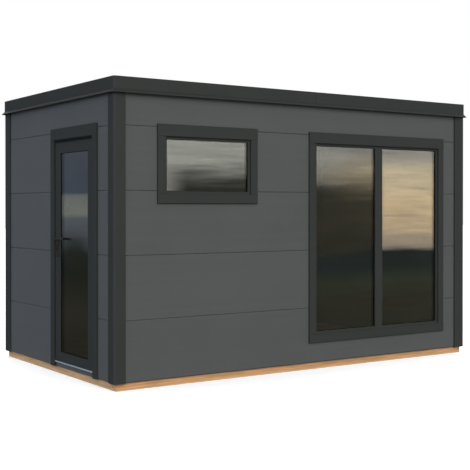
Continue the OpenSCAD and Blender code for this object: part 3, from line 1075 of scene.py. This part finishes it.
@dataclass
class Finishes:
    """The material of each slot of the record, and of the nodes that have one of their own."""

    panel_coated: tuple[str, ...] = ("door_sill_packer", "base_tracks")
    heart_shift: Point = (0.02, 0.02, -0.045)
    by_slot: dict[str, bpy.types.Material] = field(default_factory=dict)
    by_node: dict[str, bpy.types.Material] = field(default_factory=dict)

    def build(self) -> None:
        """Makes every material."""
        steel = Metal(
            "hinge_steel", tone=(0.46, 0.46, 0.47), dulled=(0.30, 0.30, 0.30), rough=0.30
        )
        aluminium = Metal(
            "mill_aluminium",
            tone=(0.48, 0.51, 0.55),
            dulled=(0.36, 0.38, 0.41),
            rough=0.38,
            bright=0.3,
        )
        self.by_slot = {
            "wall_panel": PanelCoat().material(),
            "trim": PowderCoat().material(),
            "floor_timber": PlanedBoards().material(),
            "roof_membrane": RoofSheet().material(),
            "glass": Glazing().material(),
            "bare_aluminium": aluminium.material(),
            "hinge_steel": steel.material(),
            "handle": BronzeLacquer().material(),
            "seal": BlackRubber().material(),
        }
        self.by_node = {node: self.by_slot["wall_panel"] for node in self.panel_coated}
        red, dull = (0.615, 0.320, 0.150), (0.505, 0.306, 0.142)
        pale, olive = (0.605, 0.356, 0.194), (0.520, 0.346, 0.176)
        for node, grain, light, shade in (
            ("front_sill_beam", Grain.ALONG_X, red, dull),
            ("back_sill_beam", Grain.ALONG_X, red, dull),
            ("left_sill_beam", Grain.ALONG_Y, pale, olive),
            ("right_sill_beam", Grain.ALONG_Y, pale, olive),
            ("floor_joists", Grain.ALONG_Y, pale, olive),
        ):
            low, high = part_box(node)
            heart = tuple((low + high) / 2 + Vector(self.heart_shift))
            self.by_node[node] = SawnTimber(node + "_timber", grain, heart, light, shade).material()

    def dress(self) -> None:
        """Gives each CAD node its material."""
        for part in frame["record"]["subparts"]:
            node = part["node"]
            finish = self.by_node.get(node) or self.by_slot[part["material_slot"]]
            for slot in frame["nodes"][node].material_slots:
                slot.material = finish
            log.info("%s: %s", node, finish.name)


@dataclass
class FloorBoards:
    """Boards laid lengthwise over the joists, in place of the plain deck."""

    count: int = 18
    joint: float = 0.0016
    chamfer: float = 0.0018
    seed: int = 11

    def build(self, finishes: Finishes) -> None:
        """Lays the boards.

        Args:
            finishes: the materials.
        """
        low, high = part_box("floor_deck")
        pitch = (high.y - low.y) / self.count
        first = chamfered_block(
            (low.x, low.y + self.joint / 2, low.z),
            (high.x, low.y + pitch - self.joint / 2, high.z),
            self.chamfer,
        )
        unit = mesh_of("floor_board", first)
        timber = finishes.by_slot["floor_timber"]
        boards = row_of("floor_boards", unit, self.count, (0.0, pitch, 0.0), timber, self.seed)
        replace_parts(ridden(boards, Body.CABIN), "floor_deck")


@dataclass
class RoofLaps:
    """Welded laps between the sheets of the roof covering."""

    count: int = 3
    width: float = 0.090
    rise: float = 0.0030
    sunk: float = 0.0006
    edge: float = 0.062
    chamfer_share: float = 0.45
    seed: int = 5

    def build(self, finishes: Finishes) -> None:
        """Lays the laps down the roof's fall.

        Args:
            finishes: the materials.
        """
        low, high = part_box("roof_membrane")
        sheet = (high.x - low.x) / (self.count + 1)
        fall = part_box("roof_panels")[1].z - low.z
        centre = low.x + sheet
        strip = chamfered_block(
            (centre - self.width / 2, low.y + self.edge, -self.sunk),
            (centre + self.width / 2, high.y - self.edge, self.rise),
            self.rise * self.chamfer_share,
        )
        for vert in strip.verts:
            vert.co.z += high.z - fall * (vert.co.y - low.y) / (high.y - low.y)
        unit = mesh_of("roof_lap", strip)
        covering = finishes.by_slot["roof_membrane"]
        laps = row_of("roof_laps", unit, self.count, (sheet, 0.0, 0.0), covering, self.seed)
        ridden(laps, Body.CABIN)


@dataclass
class Gaskets:
    """Rubber beads that hold the panes, outside and inside."""

    bead: Bead = Bead()
    bite: float = 0.016
    bedded: float = 0.0004
    fixed: tuple[str, ...] = (
        "small_window_glass",
        "large_window_left_glass",
        "large_window_right_glass",
    )

    def loops(self, node: str, side: Side) -> list[list[Point]]:
        """The paths of the two beads of a pane.

        Args:
            node: the pane's CAD node.
            side: the wall that it is in.

        Returns:
            The corners of the outside and the inside bead.
        """
        low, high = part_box(node)
        stand = self.bead.radius - self.bedded
        inset = self.bite + stand
        (start, outer), (end, inner) = side.split(low), side.split(high)
        a, b, z0, z1 = start + inset, end - inset, low.z + inset, high.z - inset
        corners = ((a, z0), (b, z0), (b, z1), (a, z1))
        faces = (outer - stand, inner + stand)
        return [[side.point(along, face, up) for along, up in corners] for face in faces]

    def build(self, finishes: Finishes) -> None:
        """Makes the beads of the windows and of the door.

        Args:
            finishes: the materials.
        """
        rubber = finishes.by_slot["seal"]
        window_loops = [loop for node in self.fixed for loop in self.loops(node, Side.FRONT)]
        windows = self.bead.sweep("window_gaskets", window_loops, rubber)
        ridden(windows, Body.CABIN)
        door = self.bead.sweep("door_gaskets", self.loops("door_glass", Side.LEFT), rubber)
        ridden(door, Body.DOOR)


@dataclass
class DoorHardware:
    """Lock cylinders, lock plate, strike plate and the screws of the door's fittings."""

    screw: ScrewHead = ScrewHead()
    back_plate_w: float = 0.050
    back_plate_t: float = 0.006
    back_plate_h: float = 0.172
    spindle_share: float = 0.09
    cylinder_drop: float = 0.085
    cylinder_r: float = 0.0085
    cylinder_proud: float = 0.004
    cylinder_steps: int = 20
    leg_reach: float = 0.0105
    leg_share: float = 0.58
    leg_steps: int = 8
    key_shares: tuple[float, float] = (0.10, 0.55)
    key_proud: float = 0.0004
    bedded: float = 0.002
    plate_w: float = 0.020
    plate_h: float = 0.235
    plate_t: float = 0.0015
    plate_below: float = 0.62
    plate_chamfer: float = 0.00045
    latch_w: float = 0.011
    latch_h: float = 0.032
    latch_proud: float = 0.0014
    mouth_shares: tuple[float, float] = (0.75, 0.65)
    strike_h: float = 0.170
    strike_below: float = 0.55
    strike_chamfer: float = 0.00015
    frame_t: float = 0.040
    hinge_t: float = 0.004
    hinge_reach: float = 0.024
    hinge_levels: tuple[float, float] = (0.014, 0.041)
    hinge_end: float = 0.200
    screw_in: float = 0.014
    screw_drop: float = 0.036
    threshold_screws: int = 4
    threshold_spread: float = 0.8
    threshold_in: float = 0.62

    def build(self, finishes: Finishes) -> None:
        """Makes the fittings.

        Args:
            finishes: the materials.
        """
        steel = finishes.by_slot["hinge_steel"]
        self.build_cylinders(steel)
        self.build_lock_plate(steel)
        self.build_strike(steel)
        self.build_screws(steel)

    def spindle(self) -> tuple[float, float]:
        """Where the handles turn.

        Returns:
            Y and Z of the spindle.
        """
        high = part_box("outside_handle")[1]
        drop = self.back_plate_h * self.spindle_share
        return high.y - self.back_plate_w / 2, high.z - drop

    def plate_faces(self) -> tuple[tuple[float, float], tuple[float, float]]:
        """The outer faces of the two back plates.

        Returns:
            For the outside and the inside plate, X of its face and the way that it faces.
        """
        low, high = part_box("door_leaf")
        return (low.x - self.back_plate_t, -1.0), (high.x + self.back_plate_t, 1.0)

    def build_cylinders(self, steel: bpy.types.Material) -> None:
        """Makes a keyed cylinder on each handle plate.

        Args:
            steel: the material.
        """
        y, z = self.spindle()
        outline = self._cylinder_outline(y, z - self.cylinder_drop)
        key = self._key_outline(y, z - self.cylinder_drop)
        build = bmesh.new()
        for face, way in self.plate_faces():
            end = face + way * self.cylinder_proud
            self._extrude_outline(build, outline, face - way * self.bedded, end)
            self._extrude_outline(build, key, end, end + way * self.key_proud)
        bmesh.ops.recalc_face_normals(build, faces=build.faces)
        self._ride_steel("lock_cylinders", build, steel, Body.DOOR)

    def _cylinder_outline(self, y: float, z: float) -> list[tuple[float, float]]:
        """The outline of a profile cylinder, round above a narrower leg.

        Args:
            y: the middle of the round part.
            z: its height.

        Returns:
            The points, in Y and Z.
        """
        r, leg = self.cylinder_r, self.cylinder_r * self.leg_share
        start = math.asin(leg / r)
        foot = z - r - self.leg_reach + leg
        sweep = 2 * math.pi - 2 * start
        steps, bend_steps = self.cylinder_steps, self.leg_steps
        turns = [start - math.pi / 2 + sweep * i / steps for i in range(steps + 1)]
        bends = [math.pi * (1 + i / bend_steps) for i in range(bend_steps + 1)]
        points = [(y + r * math.cos(a), z + r * math.sin(a)) for a in turns]
        return points + [(y + leg * math.cos(a), foot + leg * math.sin(a)) for a in bends]

    def _key_outline(self, y: float, z: float) -> list[tuple[float, float]]:
        """The guard of the key slot, a thin upright bar.

        Args:
            y: the slot's middle.
            z: its height.

        Returns:
            The points, in Y and Z.
        """
        w, h = (self.cylinder_r * share for share in self.key_shares)
        return [(y - w, z - h), (y + w, z - h), (y + w, z + h), (y - w, z + h)]

    @staticmethod
    def _extrude_outline(
        build: bmesh.types.BMesh, outline: Sequence[tuple[float, float]], start: float, end: float
    ) -> None:
        """Adds a prism along X.

        Args:
            build: the bmesh that it goes into.
            outline: its section, in Y and Z.
            start: where it begins along X.
            end: where it ends along X.
        """
        near = [build.verts.new((start, y, z)) for y, z in outline]
        far = [build.verts.new((end, y, z)) for y, z in outline]
        build.faces.new(near)
        build.faces.new(far)
        for i in range(len(outline)):
            j = (i + 1) % len(outline)
            build.faces.new((near[i], near[j], far[j], far[i]))

    @staticmethod
    def _ride_steel(
        name: str, build: bmesh.types.BMesh, steel: bpy.types.Material, body: Body
    ) -> None:
        """Turns a bmesh into a steel piece on a body.

        Args:
            name: the piece's name.
            build: the bmesh.
            steel: the material.
            body: the body.
        """
        obj = link(name, mesh_of(name, build))
        obj.data.materials.append(steel)
        ridden(obj, body)

    def build_lock_plate(self, steel: bpy.types.Material) -> None:
        """Makes the plate and latch on the leaf's free edge.

        Args:
            steel: the material.
        """
        low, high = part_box("door_leaf")
        z = self.spindle()[1]
        mid_x, edge = (low.x + high.x) / 2, high.y
        face = edge + self.plate_t
        below, half = self.plate_h * self.plate_below, self.latch_h / 2
        plate = chamfered_block(
            (mid_x - self.plate_w / 2, edge, z - below),
            (mid_x + self.plate_w / 2, face, z + self.plate_h - below),
            self.plate_chamfer,
        )
        latch = chamfered_block(
            (mid_x - self.latch_w / 2, edge, z - half),
            (mid_x + self.latch_w / 2, face + self.latch_proud, z + half),
            self.plate_chamfer,
        )
        plate.from_mesh(mesh_of("latch", latch))
        self._ride_steel("lock_plate", plate, steel, Body.DOOR)

    def build_strike(self, steel: bpy.types.Material) -> None:
        """Makes the strike plate on the frame, open where the latch goes.

        Args:
            steel: the material.
        """
        low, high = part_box("door_leaf")
        z = self.spindle()[1]
        mid_x = (low.x + high.x) / 2
        left, right = mid_x - self.plate_w / 2, mid_x + self.plate_w / 2
        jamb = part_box("door_frame")[1].y - self.frame_t
        half_w = self.latch_w * self.mouth_shares[0]
        half_h = self.latch_h * self.mouth_shares[1]
        below = self.strike_h * self.strike_below
        build = bmesh.new()
        for x0, x1, z0, z1 in (
            (left, right, z + half_h, z + self.strike_h - below),
            (left, right, z - below, z - half_h),
            (left, mid_x - half_w, z - half_h, z + half_h),
            (mid_x + half_w, right, z - half_h, z + half_h),
        ):
            near, far = (x0, jamb - self.plate_t, z0), (x1, jamb, z1)
            bar = chamfered_block(near, far, self.strike_chamfer)
            build.from_mesh(mesh_of("strike_bar", bar))
        self._ride_steel("strike_plate", build, steel, Body.CABIN)

    def threshold_places(self) -> list[tuple[Point, Point]]:
        """Where the threshold's screws go.

        Returns:
            Each screw's place and the way that it faces.
        """
        low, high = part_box("door_threshold")
        gaps = self.threshold_screws - 1
        gap = (high.y - low.y) * self.threshold_spread / gaps
        middle = (low.y + high.y) / 2
        x = low.x + (high.x - low.x) * self.threshold_in
        rows = [middle + (i - gaps / 2) * gap for i in range(self.threshold_screws)]
        return [((x, y, high.z), (0.0, 0.0, 1.0)) for y in rows]

    def build_screws(self, steel: bpy.types.Material) -> None:
        """Sets the screws of the threshold, the hinges and the handle plates.

        Args:
            steel: the material.
        """
        inwards = (1.0, 0.0, 0.0)
        low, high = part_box("door_leaf")
        fixed_x, moving_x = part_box("door_frame")[1].x + self.hinge_t, high.x + self.hinge_t
        axis_y = frame["record"]["behaviour"]["joints"][0]["pos_m"][1]
        cabin, door = self.threshold_places(), []
        for centre in (low.z + self.hinge_end, (low.z + high.z) / 2, high.z - self.hinge_end):
            for level in self.hinge_levels:
                cabin.append(((fixed_x, axis_y - self.hinge_reach, centre - level), inwards))
                door.append(((moving_x, axis_y + self.hinge_reach, centre + level), inwards))
        y, z = self.spindle()
        for level in (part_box("outside_handle")[0].z + self.screw_in, z - self.screw_drop):
            for face, way in self.plate_faces():
                door.append(((face, y, level), (way, 0.0, 0.0)))
        for name, places, body in (
            ("cabin_screws", cabin, Body.CABIN),
            ("door_screws", door, Body.DOOR),
        ):
            ridden(self.screw.set_at(name, places, steel), body)


@dataclass(frozen=True)
class SunLamp:
    """A broad, distant lamp that lights a whole wall evenly."""

    name: str
    azimuth: float
    elevation: float
    strength: float
    colour: Colour
    spread: float = 50.0

    def hang(self) -> None:
        """Puts the lamp in the scene, out of the sight of mirrors and panes."""
        data = bpy.data.lights.new(self.name, "SUN")
        data.energy = self.strength
        data.color = self.colour
        data.angle = math.radians(self.spread)
        obj = bpy.data.objects.new(self.name, data)
        bpy.context.scene.collection.objects.link(obj)
        turn, rise = math.radians(self.azimuth), math.radians(self.elevation)
        level = math.cos(rise)
        source = Vector((math.sin(turn) * level, -math.cos(turn) * level, math.sin(rise)))
        obj.rotation_euler = (-source).to_track_quat("-Z", "Y").to_euler()
        obj.visible_glossy = False
        obj.visible_transmission = False


@dataclass(frozen=True)
class PaintedDarkPatch:
    """A dark patch with soft edges, painted on a reflecting card: a painted reflection of a dark
    mass.
    """

    start: float
    end: float
    top: float
    side_soft: float
    top_soft: float

    def shade(self, across: Term, up: Term) -> Term:
        """How much of the painted patch shows at a place.

        Args:
            across: the place along the card.
            up: the height on the card.

        Returns:
            1 inside the patch, 0 beyond its soft edges.
        """
        near = across.step(self.start - self.side_soft, self.start + self.side_soft)
        far = across.step(self.end + self.side_soft, self.end - self.side_soft)
        return near * far * up.step(self.top + self.top_soft, self.top - self.top_soft)


@dataclass(frozen=True)
class Card:
    """A glowing card that only the panes mirror, painted with the reflection that they show: an
    upright with an apron on the floor.
    """

    name: str
    side: Side
    out: float
    start: float
    end: float
    top: float
    stops_top: float
    stops: tuple[tuple[float, Colour], ...]
    dark_patches: tuple[PaintedDarkPatch, ...]
    dark_patch_tone: Colour
    foot: float = 0.002

    def faces(self) -> list[list[Point]]:
        """The corners of the upright and of the apron.

        Returns:
            Each face's corners.
        """
        near = self.side.split(CAD_BOX[0])[1]
        far = near - self.out
        base = [(self.start, far, self.foot), (self.end, far, self.foot)]
        upright = base + [(self.end, far, self.top), (self.start, far, self.top)]
        apron = base + [(self.end, near, self.foot), (self.start, near, self.foot)]
        return [[self.side.point(*corner) for corner in face] for face in (upright, apron)]

    def ramp(self, s: Shader, up: Term, shift: Term) -> Term:
        """The card's tones from its foot to its top.

        Args:
            s: the card's nodes.
            up: the height on the card.
            shift: how far the tones are moved, as a share of the ramp.

        Returns:
            The colour.
        """
        sockets = {"Fac": up / self.stops_top + shift}
        return s.node("ShaderNodeValToRGB", {"stops": self.stops}, sockets)

    def in_dark_patches(self, along: Term, up: Term) -> Term:
        """Where the painted dark patches darken the card.

        Args:
            along: the place along the card.
            up: the height on the card.

        Returns:
            1 inside any patch, 0 outside all.
        """
        return reduce(Term.most, [dark_patch.shade(along, up) for dark_patch in self.dark_patches])

    def stand(self, glow: Term, panes: bpy.types.Collection) -> None:
        """Stands the card up.

        Args:
            glow: the colour that it sends out.
            panes: the panes.
        """
        s = glow.tree
        light = s.node("ShaderNodeEmission", sockets={"Color": glow, "Strength": 1.0})
        s.node("ShaderNodeOutputMaterial", sockets={"Surface": light})
        build = bmesh.new()
        for corners in self.faces():
            build.faces.new([build.verts.new(c) for c in corners])
        obj = link(self.name, mesh_of(self.name, build))
        obj.data.materials.append(s.material)
        obj.visible_camera = False
        obj.visible_diffuse = False
        obj.visible_shadow = False
        obj.visible_volume_scatter = False
        obj.light_linking.receiver_collection = panes


# Painted reflection: the stops paint a dim green-brown ground below and a bright warm sky above,
# and the dark patches paint dark masses against it.
FRONT_CARD = Card(
    name="front_card",
    side=Side.FRONT,
    out=1.5,
    start=-7.0,
    end=11.0,
    top=8.0,
    stops_top=2.2,
    stops=(
        (0.05, (0.147, 0.142, 0.108)),
        (0.18, (0.166, 0.153, 0.113)),
        (0.28, (0.173, 0.187, 0.124)),
        (0.35, (0.105, 0.120, 0.118)),
        (0.425, (0.105, 0.120, 0.118)),
        (0.455, (1.46, 1.19, 0.95)),
        (0.555, (2.75, 1.98, 1.29)),
        (0.67, (3.46, 2.52, 1.53)),
        (0.86, (3.10, 2.48, 1.71)),
        (0.95, (1.73, 1.58, 1.43)),
    ),
    dark_patches=(PaintedDarkPatch(-0.46, 0.80, 1.83, 0.16, 0.20), PaintedDarkPatch(0.90, 2.28, 1.79, 0.08, 0.27)),
    dark_patch_tone=(0.105, 0.107, 0.080),
)
# Painted reflection: the stops paint dim bands below, cool and paler bands higher up and a cool
# top, with one dark patch.
LEFT_CARD = Card(
    name="left_card",
    side=Side.LEFT,
    out=0.5,
    start=-3.0,
    end=9.0,
    top=6.0,
    stops_top=2.0,
    stops=(
        (0.0, (0.050, 0.047, 0.034)),
        (0.22, (0.068, 0.063, 0.048)),
        (0.36, (0.045, 0.045, 0.034)),
        (0.42, (0.030, 0.036, 0.028)),
        (0.50, (0.045, 0.058, 0.058)),
        (0.60, (0.185, 0.200, 0.225)),
        (0.675, (0.230, 0.248, 0.285)),
        (0.70, (0.430, 0.436, 0.386)),
        (0.785, (0.378, 0.386, 0.370)),
        (0.805, (0.140, 0.167, 0.219)),
        (1.0, (0.165, 0.181, 0.229)),
    ),
    dark_patches=(PaintedDarkPatch(0.58, 1.00, 1.12, 0.10, 0.16),),
    dark_patch_tone=(0.046, 0.047, 0.039),
)


@dataclass
class Studio:
    """Camera, lamps, floor, background and the cards that the glass mirrors, which carry a painted
    reflection.
    """

    eye: Point = (-5.5422, -8.1528, 1.4515)
    yaw: float = 34.0666
    pitch: float = -0.323
    lens: float = 75.78
    sensor: float = 36.0
    shift_y: float = -0.0444
    sight: float = 200.0
    floor_reach: float = 60.0
    floor_tone: float = 0.88
    floor_glow: float = 0.30
    floor_mirrored: float = 0.85
    bounce: float = 0.16
    ambient: float = 0.5
    ambient_tone: Colour = (0.96, 0.985, 1.0)
    # Tones of the front card's painted reflection: its cooler part, low and high, and its pale
    # streaks.
    cool_low: Colour = (1.48, 1.35, 1.27)
    cool_high: Colour = (2.16, 2.07, 1.86)
    wisp_tone: Colour = (1.05, 1.00, 0.98)
    suns: tuple[SunLamp, ...] = (
        SunLamp("front_sun", -8.0, 27.0, 2.17, (1.0, 0.985, 0.955)),
        SunLamp("left_sun", -98.0, 16.0, 1.62, (0.72, 0.82, 1.0)),
        SunLamp("back_sun", 150.0, 58.0, 1.8, WHITE),
        SunLamp("right_sun", 95.0, 24.0, 1.0, (0.96, 0.98, 1.0)),
    )

    def build(self) -> None:
        """Sets up everything that isn't part of the object."""
        self.build_camera()
        self.build_world()
        self.build_floor()
        panes = self.panes()
        self.build_front_card(panes)
        self.build_left_card(panes)
        for sun in self.suns:
            sun.hang()
        bpy.context.scene.view_settings.view_transform = "Standard"

    def build_camera(self) -> None:
        """Puts the camera where the photograph was taken."""
        data = bpy.data.cameras.new("camera")
        data.lens = self.lens
        data.sensor_width = self.sensor
        data.shift_y = self.shift_y
        data.clip_end = self.sight
        camera = bpy.data.objects.new("camera", data)
        bpy.context.scene.collection.objects.link(camera)
        yaw, pitch = math.radians(self.yaw), math.radians(self.pitch)
        level = math.cos(pitch)
        ahead = Vector((math.sin(yaw) * level, math.cos(yaw) * level, math.sin(pitch)))
        camera.location = self.eye
        camera.rotation_euler = ahead.to_track_quat("-Z", "Y").to_euler()
        bpy.context.scene.camera = camera

    @staticmethod
    def seen(tree: Tree) -> tuple[Term, Term]:
        """Tells apart the rays that show the background.

        Args:
            tree: the node tree.

        Returns:
            1 for rays from the camera, and 1 for rays from a mirror or through a pane.
        """
        straight = tree.node("ShaderNodeLightPath", output="Is Camera Ray")
        outputs = straight.socket.node.outputs
        glossy = Term(tree, outputs["Is Glossy Ray"])
        through = Term(tree, outputs["Is Transmission Ray"])
        return straight, glossy.most(through)

    def build_world(self) -> None:
        """Makes a white background that lights the object softly."""
        world = bpy.data.worlds.new("studio")
        bpy.context.scene.world = world
        world.use_nodes = True
        tree = Tree(world.node_tree)
        world.node_tree.nodes.clear()
        plain = {"Color": (*WHITE, 1.0), "Strength": 1.0}
        white = tree.node("ShaderNodeBackground", sockets=plain)
        soft = {"Color": (*self.ambient_tone, 1.0), "Strength": self.ambient}
        ambient = tree.node("ShaderNodeBackground", sockets=soft)
        straight, mirrored = self.seen(tree)
        sockets = {0: straight.most(mirrored), 1: ambient, 2: white}
        both = tree.node("ShaderNodeMixShader", sockets=sockets)
        tree.node("ShaderNodeOutputWorld", sockets={"Surface": both})

    def build_floor(self) -> None:
        """Lays a plain pale floor."""
        build = bmesh.new()
        bmesh.ops.create_grid(build, x_segments=1, y_segments=1, size=self.floor_reach)
        floor = link("studio_floor", mesh_of("studio_floor", build))
        s = Shader("studio_floor")
        pale, plain = (
            s.node("ShaderNodeBsdfDiffuse", sockets={"Color": (tone, tone, tone, 1.0)})
            for tone in (self.floor_tone, self.bounce)
        )
        glow, image = (
            s.node("ShaderNodeEmission", sockets={"Color": (*WHITE, 1.0), "Strength": strength})
            for strength in (self.floor_glow, self.floor_mirrored)
        )
        lit = s.node("ShaderNodeAddShader", sockets={0: pale, 1: glow})
        straight, mirrored = self.seen(s)
        both = s.node("ShaderNodeMixShader", sockets={0: straight, 1: plain, 2: lit})
        both = s.node("ShaderNodeMixShader", sockets={0: mirrored, 1: both, 2: image})
        s.node("ShaderNodeOutputMaterial", sockets={"Surface": both})
        floor.data.materials.append(s.material)

    @staticmethod
    def panes() -> bpy.types.Collection:
        """The panes of the windows and the door, which alone take the cards' light.

        Returns:
            A collection that holds them.
        """
        panes = bpy.data.collections.new("panes")
        for part in frame["record"]["subparts"]:
            if part["material_slot"] == "glass":
                panes.objects.link(frame["nodes"][part["node"]])
        return panes

    def build_front_card(self, panes: bpy.types.Collection) -> None:
        """Makes the card before the windows, a painted reflection: warm and pale above, dim below,
        with dark patches.

        Args:
            panes: the panes.
        """
        card = FRONT_CARD
        s = Shader(card.name)
        place = s.coords()
        x, z = s.axis(place, "X"), s.axis(place, "Z")
        drift = s.noise(s.mapped(place, (0.45, 1.0, 6.0)), 2.2, 4.0, 0.6) - 0.5
        # Painted reflection: a warm ramp, a cooler part to one side, a dimmed area, pale streaks
        # and the dark patches.
        warm = card.ramp(s, z, drift * 0.05)
        cool = s.mix((z + drift * 0.5).step(1.62, 2.0), self.cool_low, self.cool_high)
        tone = s.mix(x.step(2.3, 1.0) * z.step(1.2, 1.6), warm, cool)
        dip = x.step(1.2, 1.36) * x.step(2.36, 2.2) * z.step(0.95, 1.05)
        tone = s.tinted(tone, 1.0 - dip * 0.22)
        wisps = s.grain(place, (1.1, 1.0, 26.0), 3.0, 0.55).step(0.50, 0.68)
        tone = s.mix(wisps * z.step(1.0, 1.2) * 0.34, tone, self.wisp_tone)
        dark = card.in_dark_patches(x, z + drift * 0.30) * z.step(0.88, 0.95)
        tone = s.mix(dark * 0.95, tone, card.dark_patch_tone)
        card.stand(s.tinted(tone, 1.0 + drift * 0.8), panes)

    @staticmethod
    def build_left_card(panes: bpy.types.Collection) -> None:
        """Makes the card beside the door, a painted reflection: dim and cool, with one paler band
        and a dark patch.

        Args:
            panes: the panes.
        """
        card = LEFT_CARD
        s = Shader(card.name)
        place = s.coords()
        y, z = s.axis(place, "Y"), s.axis(place, "Z")
        drift = s.noise(s.mapped(place, (1.0, 0.6, 5.0)), 2.0, 3.0, 0.55) - 0.5
        tone = card.ramp(s, z, drift * 0.012)
        dark = card.in_dark_patches(y, z + drift * 0.1) * z.step(0.72, 0.92)
        tone = s.mix(dark, tone, card.dark_patch_tone)
        card.stand(s.tinted(tone, 1.0 + drift * 0.2), panes)


def main() -> None:
    """Builds the finishes, the fittings and the studio in order."""
    logging.basicConfig(level=logging.INFO, format="%(name)s: %(message)s")
    finishes = Finishes()
    finishes.build()
    finishes.dress()
    for assembly in (FloorBoards(), RoofLaps(), Gaskets(), DoorHardware()):
        assembly.build(finishes)
    Studio().build()


if __name__ == "__main__":
    main()
